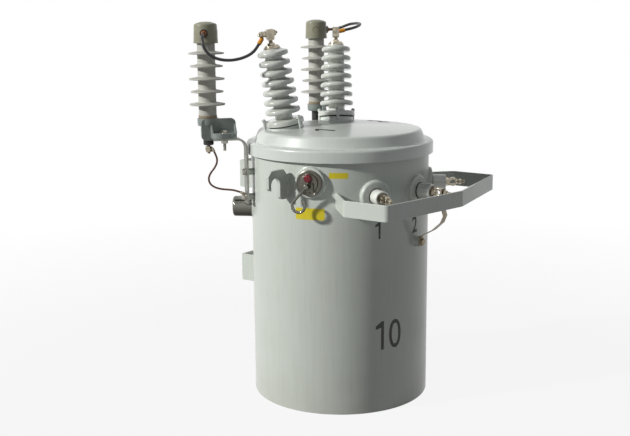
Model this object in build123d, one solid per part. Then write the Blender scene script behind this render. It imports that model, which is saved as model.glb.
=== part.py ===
from build123d import *
from math import acos, atan2, cos, degrees, hypot, pi, radians, sin, tan
import os

# Single-phase completely self-protected pole transformer.
# Frame: origin at the centre of the tank's base, +Z up, -Y towards the middle low-voltage bushing,
# +Y towards the pole. A bearing is measured from -Y towards +X, in degrees. Sizes in millimetres.

# ---------------------------------------------------------------- tank
TANK_OD = 450.0
TANK_WALL = 3.0
TANK_HEIGHT = 644.0
BOTTOM_INSET = 14.0
BOTTOM_THICK = 4.0
BOTTOM_CLEAR = 0.15
TANK_R = TANK_OD / 2

# ---------------------------------------------------------------- cover
COVER_SHEET = 3.0
COVER_GASKET = 5.0
COVER_GASKET_WIDTH = 12.0
COVER_GASKET_PROUD = 2.0
COVER_OVERHANG = 11.0
SKIRT_DROP = 22.0
RIM_ROUND = 7.0
FLANGE_WIDTH = 19.0
FOOT_ROUND = 5.0
STEP_RISE = 27.0
STEP_INSET = 12.0
SHOULDER_ROUND = 11.0
CROWN_RISE = 14.0
COVER_R = TANK_R + COVER_OVERHANG
FLANGE_Z = TANK_HEIGHT + COVER_GASKET + COVER_SHEET
CROWN_Z = FLANGE_Z + STEP_RISE + CROWN_RISE

# ---------------------------------------------------------------- high-voltage bushings
HV_BEARING = 127.5
HV_TILT = 9.3
HV_SEAT_IN = 82.0
HV_SEAT_BELOW_CROWN = 1.0
HV_PAD_R = 43.0
HV_PAD_ROUND = 2.5
HV_GASKET_R = 41.0
HV_GASKET = 3.0
HV_FLANGE_R = 48.0
HV_FLANGE = 13.0
HV_FLANGE_ROUND = 4.0
HV_FIRST_SHED = 37.0
HV_SHED_PITCH = 23.7
HV_SHEDS = 7
HV_SHED_R_LOW = 44.0
HV_SHED_R_TOP = 38.0
HV_CORE_R = 21.5
HV_SHED_THICK = 13.0
HV_ROOT_UNDER = 0.9
HV_RIM_OVER = 0.8
HV_ROOT_OVER = 1.5
HV_RIM_ROUND_UNDER = 0.8
HV_RIM_ROUND_OVER = 0.85
HV_TOP_LEN = 12.0
HV_TOP = HV_FIRST_SHED + HV_SHED_PITCH * (HV_SHEDS - 1) + HV_TOP_LEN
HV_CLAMP_COUNT = 3
HV_CLAMP_GAP = 1.0
HV_CLAMP_WIDTH = 16.0
HV_CLAMP_THICK = 4.5
HV_CLAMP_GRIP = 7.0
HV_STUD_R = 3.0
HV_STUD_OVER = 16.0
HV_CAP_R = 20.0
HV_CAP = 8.0
HV_CAP_ROUND = 1.0
HV_STEM_R = 5.5
HV_STEM = 19.0
HV_BLOCK = 20.0
HV_BLOCK_CUT = 6.0
HV_BOLT_R = 3.5
HV_NUT = 6.0
HV_NUT_R = 7.0
HV_BOLT_END = 4.0

# ---------------------------------------------------------------- arrester straps, on the tank's wall
STRAP_BEARING = 129.0
STRAP_WIDTH = 32.0
STRAP_THICK = 5.0
STRAP_GAP = 15.0
STRAP_FOOT_Z = 500.0
STRAP_ARM_OVER = 13.0
STRAP_BEND_R = 26.0
STRAP_REACH = 100.0
STRAP_BOLT_Z = (516.0, 579.0)
STRAP_ARM_Z = FLANGE_Z + STRAP_ARM_OVER
BOSS_R = 8.0
STUD_R = 4.0
STUD_CLEAR = 0.5
WASHER_R = 10.0
WASHER = 2.0
STRAP_HEAD_R = 8.0
STRAP_HEAD = 7.0

# ---------------------------------------------------------------- arresters and their brackets
ARRESTER_OUT = 104.4
ARRESTER_ASIDE = 38.9
ARRESTER_OVER_ARM = 47.0
ARRESTER_FIRST_SHED = 34.0
ARRESTER_PITCH = 31.1
ARRESTER_SHEDS = 5
ARRESTER_SHED_R = 44.0
ARRESTER_SMALL_SHED_R = 40.5
ARRESTER_BODY_R = 22.0
ARRESTER_SHED_RIM = 4.0
ARRESTER_SHED_SLOPE = 10.0
ARRESTER_RIM_ROUND = 0.4
ARRESTER_COLLAR = 6.0
ARRESTER_COLLAR_PROUD = 1.0
ARRESTER_COLLAR_SLOPE = 2.0
ARRESTER_BODY_LEN = 183.0
CAP_R = 30.0
CAP_TAPER = 2.0
CAP_HEIGHT = 52.0
CAP_DOME = 6.0
CAP_ROUND = 5.0
CAP_HOLE_Z = 24.0
CAP_GLAND_R = 9.5
GLAND_OUT = 2.9
GLAND_TURN = 55.2
BRACKET_WEB = 10.0
BRACKET_IN = 39.0
BRACKET_OUT = 125.0
BRACKET_BELOW_ARM = 7.0
BRACKET_ROUND = 12.0
CUP_R = 26.0
CUP_FOOT_R = 15.0
CUP_TAPER = 2.0
CUP_ROUND = 4.0
SHELF_BOLT_OUT = 71.0
SHELF_THICK = 13.0
SHELF_DEPTH = 40.0
SHELF_LENGTH = 62.0
SHELF_ROUND = 24.0
GUSSET_THICK = 4.0
GUSSET_HEIGHT = 22.0
GUSSET_DEPTH = 24.0
SHELF_NUT_R = 8.5
SHELF_NUT = 8.0
SHELF_STUD_END = 18.0
DISCONNECTOR_R = 13.0
DISCONNECTOR = 13.0
DISCONNECTOR_STUD = 22.0
DISCONNECTOR_NUT_R = 8.0
DISCONNECTOR_NUT = 6.0
DISCONNECTOR_NUT_DOWN = 9.0
DISCONNECTOR_LOW = -ARRESTER_OVER_ARM - BRACKET_BELOW_ARM - DISCONNECTOR

# ---------------------------------------------------------------- low-voltage bushings
LV_BEARING = 34.0
LV_Z = 541.0
LV_BOSS_R = 38.0
LV_BOSS = 9.0
LV_BOSS_ROUND = 4.0
LV_PORCELAIN_R = 18.5
LV_PORCELAIN = 33.0
LV_PORCELAIN_WALL = 5.0
LV_PORCELAIN_ROUND = 2.5
LV_SUNK = 3.0
LV_GASKET_R = 20.0
LV_GASKET = 2.5
LV_WASHER_CLEAR = 0.5
LV_STUD_R = 4.0
LV_NUT_R = 11.0
LV_NUT = 8.0
LV_EYE_R = 11.0
LV_EYE_HOLE_R = 5.5
LV_EYE_THICK = 12.0
LV_SCREW_GAP = 1.5
LV_SCREW_R = 7.0
LV_SCREW = 8.0

# ---------------------------------------------------------------- guard bar round the low-voltage bushings
GUARD_TOP_Z = 551.0
GUARD_HEIGHT = 38.0
GUARD_THICK = 5.0
GUARD_ROOT_BEARING = 58.0
GUARD_SIDE_OUT = 34.0
GUARD_ELBOW_IN = 36.0
GUARD_CORNER_OUT = 77.0
GUARD_NOSE_OUT = 124.0
GUARD_BEND_R = 10.0

# ---------------------------------------------------------------- lifting lugs and hangers
LUG_THICK = 9.5
LUG_LOW_Z = 533.0
LUG_HEIGHT = 72.0
LUG_REACH = 74.0
LUG_TOE = 20.0
LUG_LEG_RISE = 31.0
LUG_CORNER = 12.0
LUG_HEEL = 17.0
LUG_NOTCH_R = 16.5
LUG_NOTCH_OUT = 47.5
LUG_NOTCH_UP = 37.5
HANGER_WIDTH = 90.0
HANGER_HEIGHT = 72.0
HANGER_REACH = 72.0
HANGER_PLATE = 6.0
HANGER_ROUND = 5.0
HANGER_LOW_Z = 250.0
HANGER_SPACING = 258.0
SLOT_LENGTH = 36.0
SLOT_WIDTH = 18.0

# ---------------------------------------------------------------- breaker
BREAKER_BEARING = -73.3
BREAKER_Z = 575.0
BREAKER_BOSS_R = 37.0
BREAKER_BOSS = 9.0
DISC_R = 31.0
DISC = 5.0
DOME_R = 22.0
DOME = 5.0
DOME_ROUND = 3.0
LAMP_R = 10.5
LAMP_COLLAR = 2.0
LAMP_BULGE = 6.0
LAMP_EDGE_IN = 3.0
LAMP_CROWN = 1.5
LAMP_ROUND = 3.0
LAMP_RISE = 12.0
SHAFT_R = 4.0
SHAFT_CLEAR = 0.05
SHAFT_DROP = 6.0
SHAFT_END = 1.5
HANDLE_WIRE_R = 3.5
LEVER_STANDOFF = 16.0
EYE_ASIDE = 19.0
EYE_DROP = 45.0
EYE_R = 15.5
EYE_SWEEP = 285.0
POINTER_ASIDE = 11.0
POINTER_TOP = 3.0
POINTER_LENGTH = 24.0
POINTER_WIDTH = 5.0
POINTER_REACH = 6.0
BREAKER_FACE = BREAKER_BOSS + DISC + DOME

# ---------------------------------------------------------------- tap changer, neutral strap
TAP_BEARING = -146.0
TAP_Z = 479.0
TAP_R = 27.0
TAP_REACH = 51.0
TAP_ROUND = 7.0
NEUTRAL_WIDTH = 20.0
NEUTRAL_THICK = 2.0
NEUTRAL_BEND_R = 6.0
NEUTRAL_OVER = 11.0
NEUTRAL_FOOT_RISE = 14.0
GROUND_BOSS_Z = 414.0
GROUND_BOSS_R = 13.0
GROUND_BOSS = 14.0
GROUND_HEAD_R = 9.0
GROUND_HEAD = 8.0
# The neutral strip's bends: how far each stands out from its upright end, and above its bolt.
NEUTRAL_BENDS = ((-24.0, 34.0), (-2.0, 54.0), (6.0, 72.0), (0.0, 90.0))

# ---------------------------------------------------------------- cords and their lugs
JUMPER_R = 3.75
JUMPER_LUG_PLATE = 3.5
JUMPER_LUG_R = 8.0
JUMPER_SLEEVE_R = 5.5
JUMPER_SLEEVE = 17.0
LEAD_R = 2.5
LEAD_LUG_PLATE = 2.5
LEAD_LUG_R = 9.0
LEAD_SLEEVE_R = 3.6
LEAD_SLEEVE = 11.0
LUG_CLEAR = 0.1
RUN_SHARE = 0.45

WELD_SINK = 20.0
OVERLAP = 1.0
WALL_FIT = 0.1
SIDES = ((1, -1), (2, 1))
LV_BEARINGS = (-LV_BEARING, 0.0, LV_BEARING)
TALL = 4 * TANK_HEIGHT
ON_BASE = (Align.CENTER, Align.CENTER, Align.MIN)

# Routes of the cords, from the arrester's end. Their ends meet the lugs' sleeves below.
JUMPER_ROUTES = {
    -1: [
        (-258.7, 218.7, 919),
        (-274.3, 207.8, 919),
        (-288.3, 198.1, 911),
        (-295.3, 190.8, 896),
        (-293, 183.9, 879),
        (-282.3, 175.5, 866),
        (-264.6, 165.9, 858),
        (-242, 156, 855),
        (-217.7, 147.3, 857),
        (-195.9, 140.6, 862.5),
        (-180, 135.2, 870),
        (-169.8, 130.1, 880),
        (-162.7, 126, 892.5),
    ],
    1: [
        (258.7, 218.7, 919),
        (272.7, 208.9, 919),
        (282, 195, 923),
        (285, 178, 928),
        (283, 160, 933.5),
        (278, 143, 935),
        (269, 127, 936),
        (257, 112, 936),
        (243, 98.5, 935),
        (228, 88, 933),
        (212, 82.5, 930),
        (196, 82, 926.5),
        (181.8, 89.6, 922.7),
        (172.2, 101.3, 919.5),
    ],
}
LEAD_ROUTES = {
    -1: [
        (-225.9, 225.6, 629),
        (-223, 219.5, 616),
        (-222.5, 218.5, 602),
        (-226, 224, 588),
        (-231.5, 232.5, 576),
        (-234.5, 238.5, 562.5),
        (-233, 237.5, 549),
        (-227.5, 229, 539),
        (-218.5, 213.5, 533.5),
        (-209, 196, 532.5),
        (-200.8, 180.5, 531),
        (-193.7, 169, 526),
    ],
}
LEAD_ROUTES[1] = [(-x, y, z) for x, y, z in LEAD_ROUTES[-1]]

# Mouth of each cable lug's sleeve and its direction towards the lug. The mouth is measured along the
# bolt or stud from the lug's seat on it: a nut, the strap's face or the lug's own lower side.
JUMPER_MOUTHS = {
    -1: ((13.56, -0.92, -20.19), (-0.672, -0.072, 0.737)),
    1: ((1.75, -24.45, 5.2), (0, 0.978, -0.208)),
}
LEAD_STUD_MOUTH = ((-5.7, -11.9, -4.5), (0.198, 0.416, 0.887))
LEAD_BOLT_MOUTH = ((11.89, 9.44, 10), (-0.885, -0.31, -0.347))


def polar(bearing, radius=0.0, z=0.0):
    """Location at a bearing and radius: its X points outwards, its Y along the rising bearing."""
    return Rot(0, 0, bearing - 90) * Pos(radius, 0, z)


def rod(radius, start, end):
    """Cylinder along X between two places."""
    return Pos((start + end) / 2, 0, 0) * Rot(0, 90, 0) * Cylinder(radius, end - start)


def hexagon(radius, start, end):
    """Hexagonal nut or bolt head along X between two places."""
    return Pos(start, 0, 0) * extrude(Plane.YZ * RegularPolygon(radius, 6), end - start)


def post(radius, low, high):
    """Cylinder along Z between two heights."""
    return Pos(0, 0, low) * Cylinder(radius, high - low, align=ON_BASE)


def hex_post(radius, low, high):
    """Hexagonal nut or bolt head along Z between two heights."""
    return Pos(0, 0, low) * extrude(RegularPolygon(radius, 6), high - low)


def outline(points, rounds):
    """Face from corner points, with a radius at the corners that are named by their place in the list."""
    face = make_face(Polyline(*points, close=True))
    for index, radius in rounds.items():
        corner = face.vertices().sort_by_distance((*points[index], 0))[0]
        face = fillet(corner, radius)
    return face


def spun(face):
    """Solid of revolution about Z from a face whose X is the radius and whose Y is the height."""
    return revolve(Plane.XZ * face, Axis.Z)


def along_bar(path, width, thick, across):
    """Flat bar swept along a path, with its width along a given direction."""
    section = Plane(origin=path @ 0, z_dir=path % 0, x_dir=across) * Rectangle(width, thick)
    return sweep(section, path)


def beside_tank(shape, clearance=0.0):
    """What is left of a shape outside the tank."""
    return shape - Cylinder(TANK_R + clearance, TALL)


def mirrored(triple, side, axis):
    """Coordinates with one of them turned over on the left side."""
    return tuple(side * value if i == axis else value for i, value in enumerate(triple))


def lug_sleeve(mouth, radius, length, side, axis):
    """Cable lug's sleeve from its mouth towards the lug, mirrored by side."""
    place, towards = (mirrored(triple, side, axis) for triple in mouth)
    return Plane(origin=place, z_dir=towards) * Cylinder(radius, length, align=ON_BASE)


# ---------------------------------------------------------------- tank and cover
def make_tank_wall():
    """Rolled sheet shell, standing on its lower rim."""
    return post(TANK_R, 0, TANK_HEIGHT) - post(TANK_R - TANK_WALL, 0, TANK_HEIGHT)


def make_tank_bottom():
    """Inset bottom plate, welded inside the wall above its lower rim."""
    return post(TANK_R - TANK_WALL - BOTTOM_CLEAR, BOTTOM_INSET, BOTTOM_INSET + BOTTOM_THICK)


def cover_block(inset):
    """Solid under the cover's surface moved inwards by an inset."""
    low = TANK_HEIGHT - SKIRT_DROP
    rim_r = COVER_R - inset
    flange_z = FLANGE_Z - inset
    foot_r = COVER_R - FLANGE_WIDTH - inset
    step_r = foot_r - STEP_INSET
    step_z = FLANGE_Z + STEP_RISE - inset
    side = Polyline((0, low), (rim_r, low), (rim_r, flange_z), (foot_r, flange_z), (step_r, step_z))
    sagitta = CROWN_RISE
    crown_r = (step_r**2 + sagitta**2) / (2 * sagitta)
    half_r = step_r / 2
    half_z = step_z + sagitta - crown_r + (crown_r**2 - half_r**2) ** 0.5
    crown = ThreePointArc((step_r, step_z), (half_r, half_z), (0, step_z + sagitta))
    face = make_face([*side.edges(), crown.edge(), Line((0, step_z + sagitta), (0, low)).edge()])
    corners = (
        ((rim_r, flange_z), RIM_ROUND - inset),
        ((foot_r, flange_z), FOOT_ROUND + inset),
        ((step_r, step_z), SHOULDER_ROUND - inset),
    )
    for (radius, z), rounding in corners:
        face = fillet(face.vertices().sort_by_distance((radius, z, 0))[0], rounding)
    return spun(face)


def hv_frame(side):
    """Location of a high-voltage bushing: its Z is the bushing's axis, its origin is on the pad."""
    seat = polar(side * HV_BEARING, TANK_R - HV_SEAT_IN, CROWN_Z - HV_SEAT_BELOW_CROWN)
    return seat * Rot(0, HV_TILT, 0)


def make_cover():
    """Pressed cover with a skirt, a domed top and a raised pad under each high-voltage bushing."""
    shell = cover_block(0)
    for _, side in SIDES:
        pad = post(HV_PAD_R, -STEP_RISE, 0)
        pad = fillet(pad.edges().sort_by(Axis.Z)[-1], HV_PAD_ROUND)
        shell += hv_frame(side) * pad
    return shell - cover_block(COVER_SHEET)


def make_cover_gasket():
    """Flat ring between the tank's rim and the cover."""
    outer = TANK_R + COVER_GASKET_PROUD
    top = TANK_HEIGHT + COVER_GASKET
    return post(outer, TANK_HEIGHT, top) - post(outer - COVER_GASKET_WIDTH, 0, top)


# ---------------------------------------------------------------- high-voltage side
def hv_shed(index):
    """Half section of one thick shed; its root, rim and rounds are shares of half its thickness."""
    shed_r = HV_SHED_R_LOW + (HV_SHED_R_TOP - HV_SHED_R_LOW) * index / (HV_SHEDS - 1)
    middle = HV_FIRST_SHED + HV_SHED_PITCH * index
    half = HV_SHED_THICK / 2
    root = HV_CORE_R - OVERLAP
    points = [
        (root, middle - HV_ROOT_UNDER * half),
        (shed_r, middle - half),
        (shed_r, middle + HV_RIM_OVER * half),
        (root, middle + HV_ROOT_OVER * half),
    ]
    return outline(points, {1: HV_RIM_ROUND_UNDER * half, 2: HV_RIM_ROUND_OVER * half})


def make_hv_bushing(side):
    """Porcelain with a flange, a core and seven thick sheds that grow smaller upwards."""
    low = HV_GASKET
    top = low + HV_FLANGE
    flange = [(0, low), (HV_FLANGE_R, low), (HV_FLANGE_R, top), (0, top)]
    section = outline(flange, {2: HV_FLANGE_ROUND})
    section += outline([(0, low), (HV_CORE_R, low), (HV_CORE_R, HV_TOP), (0, HV_TOP)], {2: HV_FLANGE_ROUND})
    for i in range(HV_SHEDS):
        section += hv_shed(i)
    return hv_frame(side) * spun(section)


def make_hv_gaskets():
    """Dark ring under each high-voltage bushing."""
    ring = post(HV_GASKET_R, 0, HV_GASKET) - post(HV_CORE_R, 0, HV_GASKET)
    return Compound([hv_frame(side) * ring for _, side in SIDES])


def make_hv_clamps():
    """Stud, foot and nut of the clamps that hold each bushing's flange down."""
    top = HV_GASKET + HV_FLANGE
    stud_x = HV_FLANGE_R + HV_STUD_R + HV_CLAMP_GAP
    foot = Pos(HV_FLANGE_R - HV_CLAMP_GRIP, 0, top) * Box(
        HV_CLAMP_GRIP + 2 * HV_STUD_R + 2 * HV_CLAMP_GAP,
        HV_CLAMP_WIDTH,
        HV_CLAMP_THICK,
        align=(Align.MIN, Align.CENTER, Align.MIN),
    )
    foot_top = top + HV_CLAMP_THICK
    stud = post(HV_STUD_R, -STEP_RISE, top + HV_STUD_OVER)
    nut = hex_post(2 * HV_STUD_R, foot_top, foot_top + 2 * HV_STUD_R)
    clamp = foot + Pos(stud_x, 0, 0) * (stud + nut)
    solids = []
    for _, side in SIDES:
        for i in range(HV_CLAMP_COUNT):
            turn = 360 / HV_CLAMP_COUNT * (i + 0.5) + 90 * (1 - side)
            solids.append(hv_frame(side) * Rot(0, 0, turn) * clamp - cover_block(0))
    return Compound(solids)


def hv_bolt_frame(side):
    """Location of the middle of the clamp block on a high-voltage bushing."""
    return hv_frame(side) * Pos(0, 0, HV_TOP + HV_CAP + HV_STEM + HV_BLOCK / 2)


def cross_bolt():
    """Bolt along X through the clamp block, with two nuts that hold the jumper's lug."""
    near = HV_BLOCK / 2
    lug = near + HV_NUT
    far = lug + JUMPER_LUG_PLATE
    bolt = rod(HV_BOLT_R, -near - HV_NUT - HV_BOLT_END, far + HV_NUT + HV_BOLT_END)
    nuts = hexagon(HV_NUT_R, -near - HV_NUT, -near) + hexagon(HV_NUT_R, near, lug)
    return bolt + nuts + hexagon(HV_NUT_R, far, far + HV_NUT)


def make_hv_terminal(side):
    """Metal cap, stem and clamp block with its cross bolt."""
    block = Box(HV_BLOCK, HV_BLOCK, HV_BLOCK)
    block = chamfer(block.edges().filter_by(Axis.Y).group_by(Axis.Z)[-1].sort_by(Axis.X)[-1], HV_BLOCK_CUT)
    cap = post(HV_CAP_R, HV_TOP, HV_TOP + HV_CAP)
    cap = fillet(cap.edges().group_by(Axis.Z)[-1], HV_CAP_ROUND)
    stem = post(HV_STEM_R, HV_TOP, HV_TOP + HV_CAP + HV_STEM + OVERLAP)
    return hv_frame(side) * (cap + stem) + hv_bolt_frame(side) * (block + cross_bolt())


# ---------------------------------------------------------------- arresters
def strap_frame(side, z=0.0):
    """Location on the tank's wall at the strap's bearing: X outwards."""
    return polar(side * STRAP_BEARING, TANK_R, z)


def arrester_frame(side):
    """Location of an arrester's axis at the underside of its body, turned as the transformer is."""
    height = STRAP_ARM_Z + ARRESTER_OVER_ARM
    place = strap_frame(side, height) * Pos(ARRESTER_OUT, side * ARRESTER_ASIDE, 0)
    return Pos(*place.position)


def make_arrester_body(side):
    """Polymer housing with five thin sheds, large and small in turn."""
    collar_r = ARRESTER_BODY_R + ARRESTER_COLLAR_PROUD
    collar_top = ARRESTER_COLLAR + ARRESTER_COLLAR_SLOPE
    slope_end = (ARRESTER_BODY_R, collar_top)
    section = outline([(0, 0), (collar_r, 0), (collar_r, ARRESTER_COLLAR), slope_end, (0, collar_top)], {})
    low = collar_top - OVERLAP
    shaft = [(0, low), (ARRESTER_BODY_R, low), (ARRESTER_BODY_R, ARRESTER_BODY_LEN), (0, ARRESTER_BODY_LEN)]
    section += outline(shaft, {})
    root = ARRESTER_BODY_R - OVERLAP
    half = ARRESTER_SHED_RIM / 2
    rim_round = ARRESTER_RIM_ROUND * ARRESTER_SHED_RIM
    for i in range(ARRESTER_SHEDS):
        shed_r = ARRESTER_SMALL_SHED_R if i % 2 else ARRESTER_SHED_R
        middle = ARRESTER_FIRST_SHED + ARRESTER_PITCH * i
        points = [
            (root, middle - 2 * half),
            (shed_r, middle - half),
            (shed_r, middle + half),
            (root, middle + half + ARRESTER_SHED_SLOPE),
        ]
        section += outline(points, {1: rim_round, 2: rim_round})
    return arrester_frame(side) * spun(section)


def gland_frame(side):
    """Location on the cap's axis at its gland: X points out of the gland."""
    gland = Pos(0, 0, ARRESTER_BODY_LEN + CAP_HOLE_Z) * Rot(0, 0, -90 + side * GLAND_TURN)
    return arrester_frame(side) * gland


def make_arrester_cap(side):
    """Domed bird guard over the arrester's top, with the gland of its jumper."""
    shoulder = CAP_HEIGHT - CAP_DOME
    points = [(0, 0), (CAP_R, 0), (CAP_R - CAP_TAPER, shoulder), (0, CAP_HEIGHT)]
    cap = arrester_frame(side) * Pos(0, 0, ARRESTER_BODY_LEN) * spun(outline(points, {2: CAP_ROUND}))
    return cap + gland_frame(side) * rod(CAP_GLAND_R, 0, CAP_R + GLAND_OUT)


def make_arrester_strap(side):
    """Flat galvanised strap: upright against the tank, bent outwards to carry the bracket."""
    middle = STRAP_GAP + STRAP_THICK / 2
    arm_z = STRAP_ARM_Z - STRAP_THICK / 2
    points = [(middle, STRAP_FOOT_Z), (middle, arm_z), (STRAP_REACH, arm_z)]
    path = Plane.XZ * FilletPolyline(*points, radius=STRAP_BEND_R)
    strap = along_bar(path, STRAP_WIDTH, STRAP_THICK, (0, 1, 0))
    hole_r = STUD_R + STUD_CLEAR
    for z in STRAP_BOLT_Z:
        strap -= Pos(0, 0, z) * rod(hole_r, 0, STRAP_GAP + 2 * STRAP_THICK)
    strap -= Pos(SHELF_BOLT_OUT, 0, 0) * post(hole_r, arm_z - STRAP_THICK, STRAP_ARM_Z + OVERLAP)
    return strap_frame(side) * strap


def make_strap_bosses():
    """Four short studs welded to the tank, two behind each strap."""
    boss = rod(BOSS_R, -WELD_SINK, STRAP_GAP)
    return Compound([beside_tank(strap_frame(side, z) * boss) for _, side in SIDES for z in STRAP_BOLT_Z])


def strap_bolt(lug_thick):
    """Bolt and washer, with room for a cable lug under the head."""
    face = STRAP_GAP + STRAP_THICK
    head = face + WASHER + lug_thick
    return (
        rod(WASHER_R, face, face + WASHER)
        + hexagon(STRAP_HEAD_R, head, head + STRAP_HEAD)
        + rod(STUD_R, STRAP_GAP, head + STRAP_HEAD / 2)
    )


def make_strap_bolts():
    """Hex bolts that hold the straps to their bosses; the lower ones also hold the ground leads."""
    gaps = zip(STRAP_BOLT_Z, (LEAD_LUG_PLATE, 0))
    return Compound([strap_frame(side, z) * strap_bolt(gap) for z, gap in gaps for _, side in SIDES])


def make_shelf_bolts():
    """Bolt through each bracket's shelf and the strap's arm, with its nut below."""
    shelf_top = STRAP_ARM_Z + SHELF_THICK
    low = STRAP_ARM_Z - STRAP_THICK
    bolt = post(STUD_R, low - SHELF_NUT - SHELF_STUD_END, shelf_top + OVERLAP)
    bolt += hex_post(SHELF_NUT_R, shelf_top, shelf_top + STRAP_HEAD)
    bolt += hex_post(SHELF_NUT_R, low - SHELF_NUT, low)
    return Compound([strap_frame(side) * Pos(SHELF_BOLT_OUT, 0, 0) * bolt for _, side in SIDES])


def make_arrester_bracket(side):
    """Moulded insulating bracket: upright web, cup under the arrester, shelf with two gussets."""
    web_y = STRAP_WIDTH / 2
    low_z = STRAP_ARM_Z - BRACKET_BELOW_ARM
    top_z = STRAP_ARM_Z + ARRESTER_OVER_ARM
    length = BRACKET_OUT - BRACKET_IN
    face = Plane.XZ * RectangleRounded(length, top_z - low_z, BRACKET_ROUND)
    web = Pos(BRACKET_IN + length / 2, web_y + BRACKET_WEB, (low_z + top_z) / 2) * extrude(face, BRACKET_WEB)
    shelf = Box(SHELF_LENGTH, SHELF_DEPTH, SHELF_THICK, align=(Align.CENTER, Align.MAX, Align.MIN))
    shelf = fillet(shelf.edges().filter_by(Axis.Z).group_by(Axis.Y)[0], SHELF_ROUND)
    shelf = Pos(SHELF_BOLT_OUT, web_y + OVERLAP, STRAP_ARM_Z) * shelf
    shelf -= Pos(SHELF_BOLT_OUT, 0, STRAP_ARM_Z) * post(STUD_R + STUD_CLEAR, -OVERLAP, SHELF_THICK + OVERLAP)
    body = web + shelf
    corner = [(web_y + OVERLAP, 0), (web_y + OVERLAP, GUSSET_HEIGHT), (web_y - GUSSET_DEPTH, 0)]
    gusset = extrude(Plane.YZ * outline(corner, {}), GUSSET_THICK / 2, both=True)
    gusset_x = (SHELF_LENGTH - GUSSET_THICK) / 2
    for x in (-gusset_x, gusset_x):
        body += Pos(SHELF_BOLT_OUT + x, 0, STRAP_ARM_Z + SHELF_THICK - OVERLAP) * gusset
    body = strap_frame(side) * (body if side > 0 else mirror(body, Plane.XZ))
    foot = low_z - top_z
    low_side = [(0, foot), (CUP_FOOT_R, foot), (CUP_R - CUP_TAPER, foot / 2)]
    points = [*low_side, (CUP_R, foot / 4), (CUP_R, 0), (0, 0)]
    return body + arrester_frame(side) * spun(outline(points, {2: CUP_ROUND}))


def make_arrester_disconnector(side):
    """Black isolator under the bracket, with its stud and nuts."""
    low = DISCONNECTOR_LOW
    nut = low - DISCONNECTOR_NUT_DOWN
    lug = nut - LEAD_LUG_PLATE
    body = post(DISCONNECTOR_R, low, low + DISCONNECTOR) + post(STUD_R, low - DISCONNECTOR_STUD, low)
    body += hex_post(DISCONNECTOR_NUT_R, nut, nut + DISCONNECTOR_NUT)
    return arrester_frame(side) * (body + hex_post(DISCONNECTOR_NUT_R, lug - DISCONNECTOR_NUT, lug))


# ---------------------------------------------------------------- low-voltage side
def lv_frame(bearing):
    """Location of a low-voltage bushing on its boss: X points outwards."""
    return polar(bearing, TANK_R + LV_BOSS, LV_Z)


def make_lv_bosses():
    """Three raised round seats on the tank for the low-voltage bushings."""
    boss = rod(LV_BOSS_R, -WELD_SINK, 0)
    boss = fillet(boss.edges().sort_by(Axis.X)[-1], LV_BOSS_ROUND)
    return Compound([beside_tank(lv_frame(bearing) * boss) for bearing in LV_BEARINGS])


def make_lv_gaskets():
    """Dark ring behind each low-voltage bushing."""
    return Compound([lv_frame(bearing) * rod(LV_GASKET_R, 0, LV_GASKET) for bearing in LV_BEARINGS])


def make_lv_bushing(bearing):
    """Short white porcelain sleeve with a sunk face."""
    end = LV_GASKET + LV_PORCELAIN
    sleeve = rod(LV_PORCELAIN_R, LV_GASKET, end)
    sleeve = fillet(sleeve.edges().sort_by(Axis.X)[-1], LV_PORCELAIN_ROUND)
    return lv_frame(bearing) * (sleeve - rod(LV_PORCELAIN_R - LV_PORCELAIN_WALL, end - LV_SUNK, end + OVERLAP))


def make_lv_terminal(bearing):
    """Stud with its washer, nut, eye for the service conductor and the screw that clamps it."""
    face = LV_GASKET + LV_PORCELAIN - LV_SUNK
    nut = face + WASHER
    eye_x = nut + LV_NUT + LV_EYE_R
    screw = eye_x + LV_EYE_R + NEUTRAL_THICK + LV_SCREW_GAP
    washer_r = LV_PORCELAIN_R - LV_PORCELAIN_WALL - LV_WASHER_CLEAR
    piece = rod(washer_r, face, nut) + hexagon(LV_NUT_R, nut, nut + LV_NUT)
    piece += rod(LV_STUD_R, face, screw + LV_SCREW) + hexagon(LV_SCREW_R, screw, screw + LV_SCREW)
    piece += Pos(eye_x, 0, 0) * Cylinder(LV_EYE_R, LV_EYE_THICK, rotation=(90, 0, 0))
    piece -= Pos(eye_x, 0, 0) * Cylinder(LV_EYE_HOLE_R, 2 * LV_EYE_THICK, rotation=(90, 0, 0))
    return lv_frame(bearing) * piece


def make_lv_guard():
    """Bent flat bar that runs from the tank round the three bushings and back."""
    root = radians(GUARD_ROOT_BEARING)
    inside = TANK_R - 2 * GUARD_THICK
    half_width = TANK_R + GUARD_SIDE_OUT
    right = [
        (inside * sin(root), -inside * cos(root)),
        (half_width, GUARD_ELBOW_IN - TANK_R),
        (half_width, -GUARD_CORNER_OUT - TANK_R),
    ]
    left = [(-x, y) for x, y in reversed(right)]
    path = FilletPolyline(*right, (0, -GUARD_NOSE_OUT - TANK_R), *left, radius=GUARD_BEND_R)
    bar = Pos(0, 0, GUARD_TOP_Z - GUARD_HEIGHT / 2) * along_bar(path, GUARD_HEIGHT, GUARD_THICK, (0, 0, 1))
    return beside_tank(bar, WALL_FIT)


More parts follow.
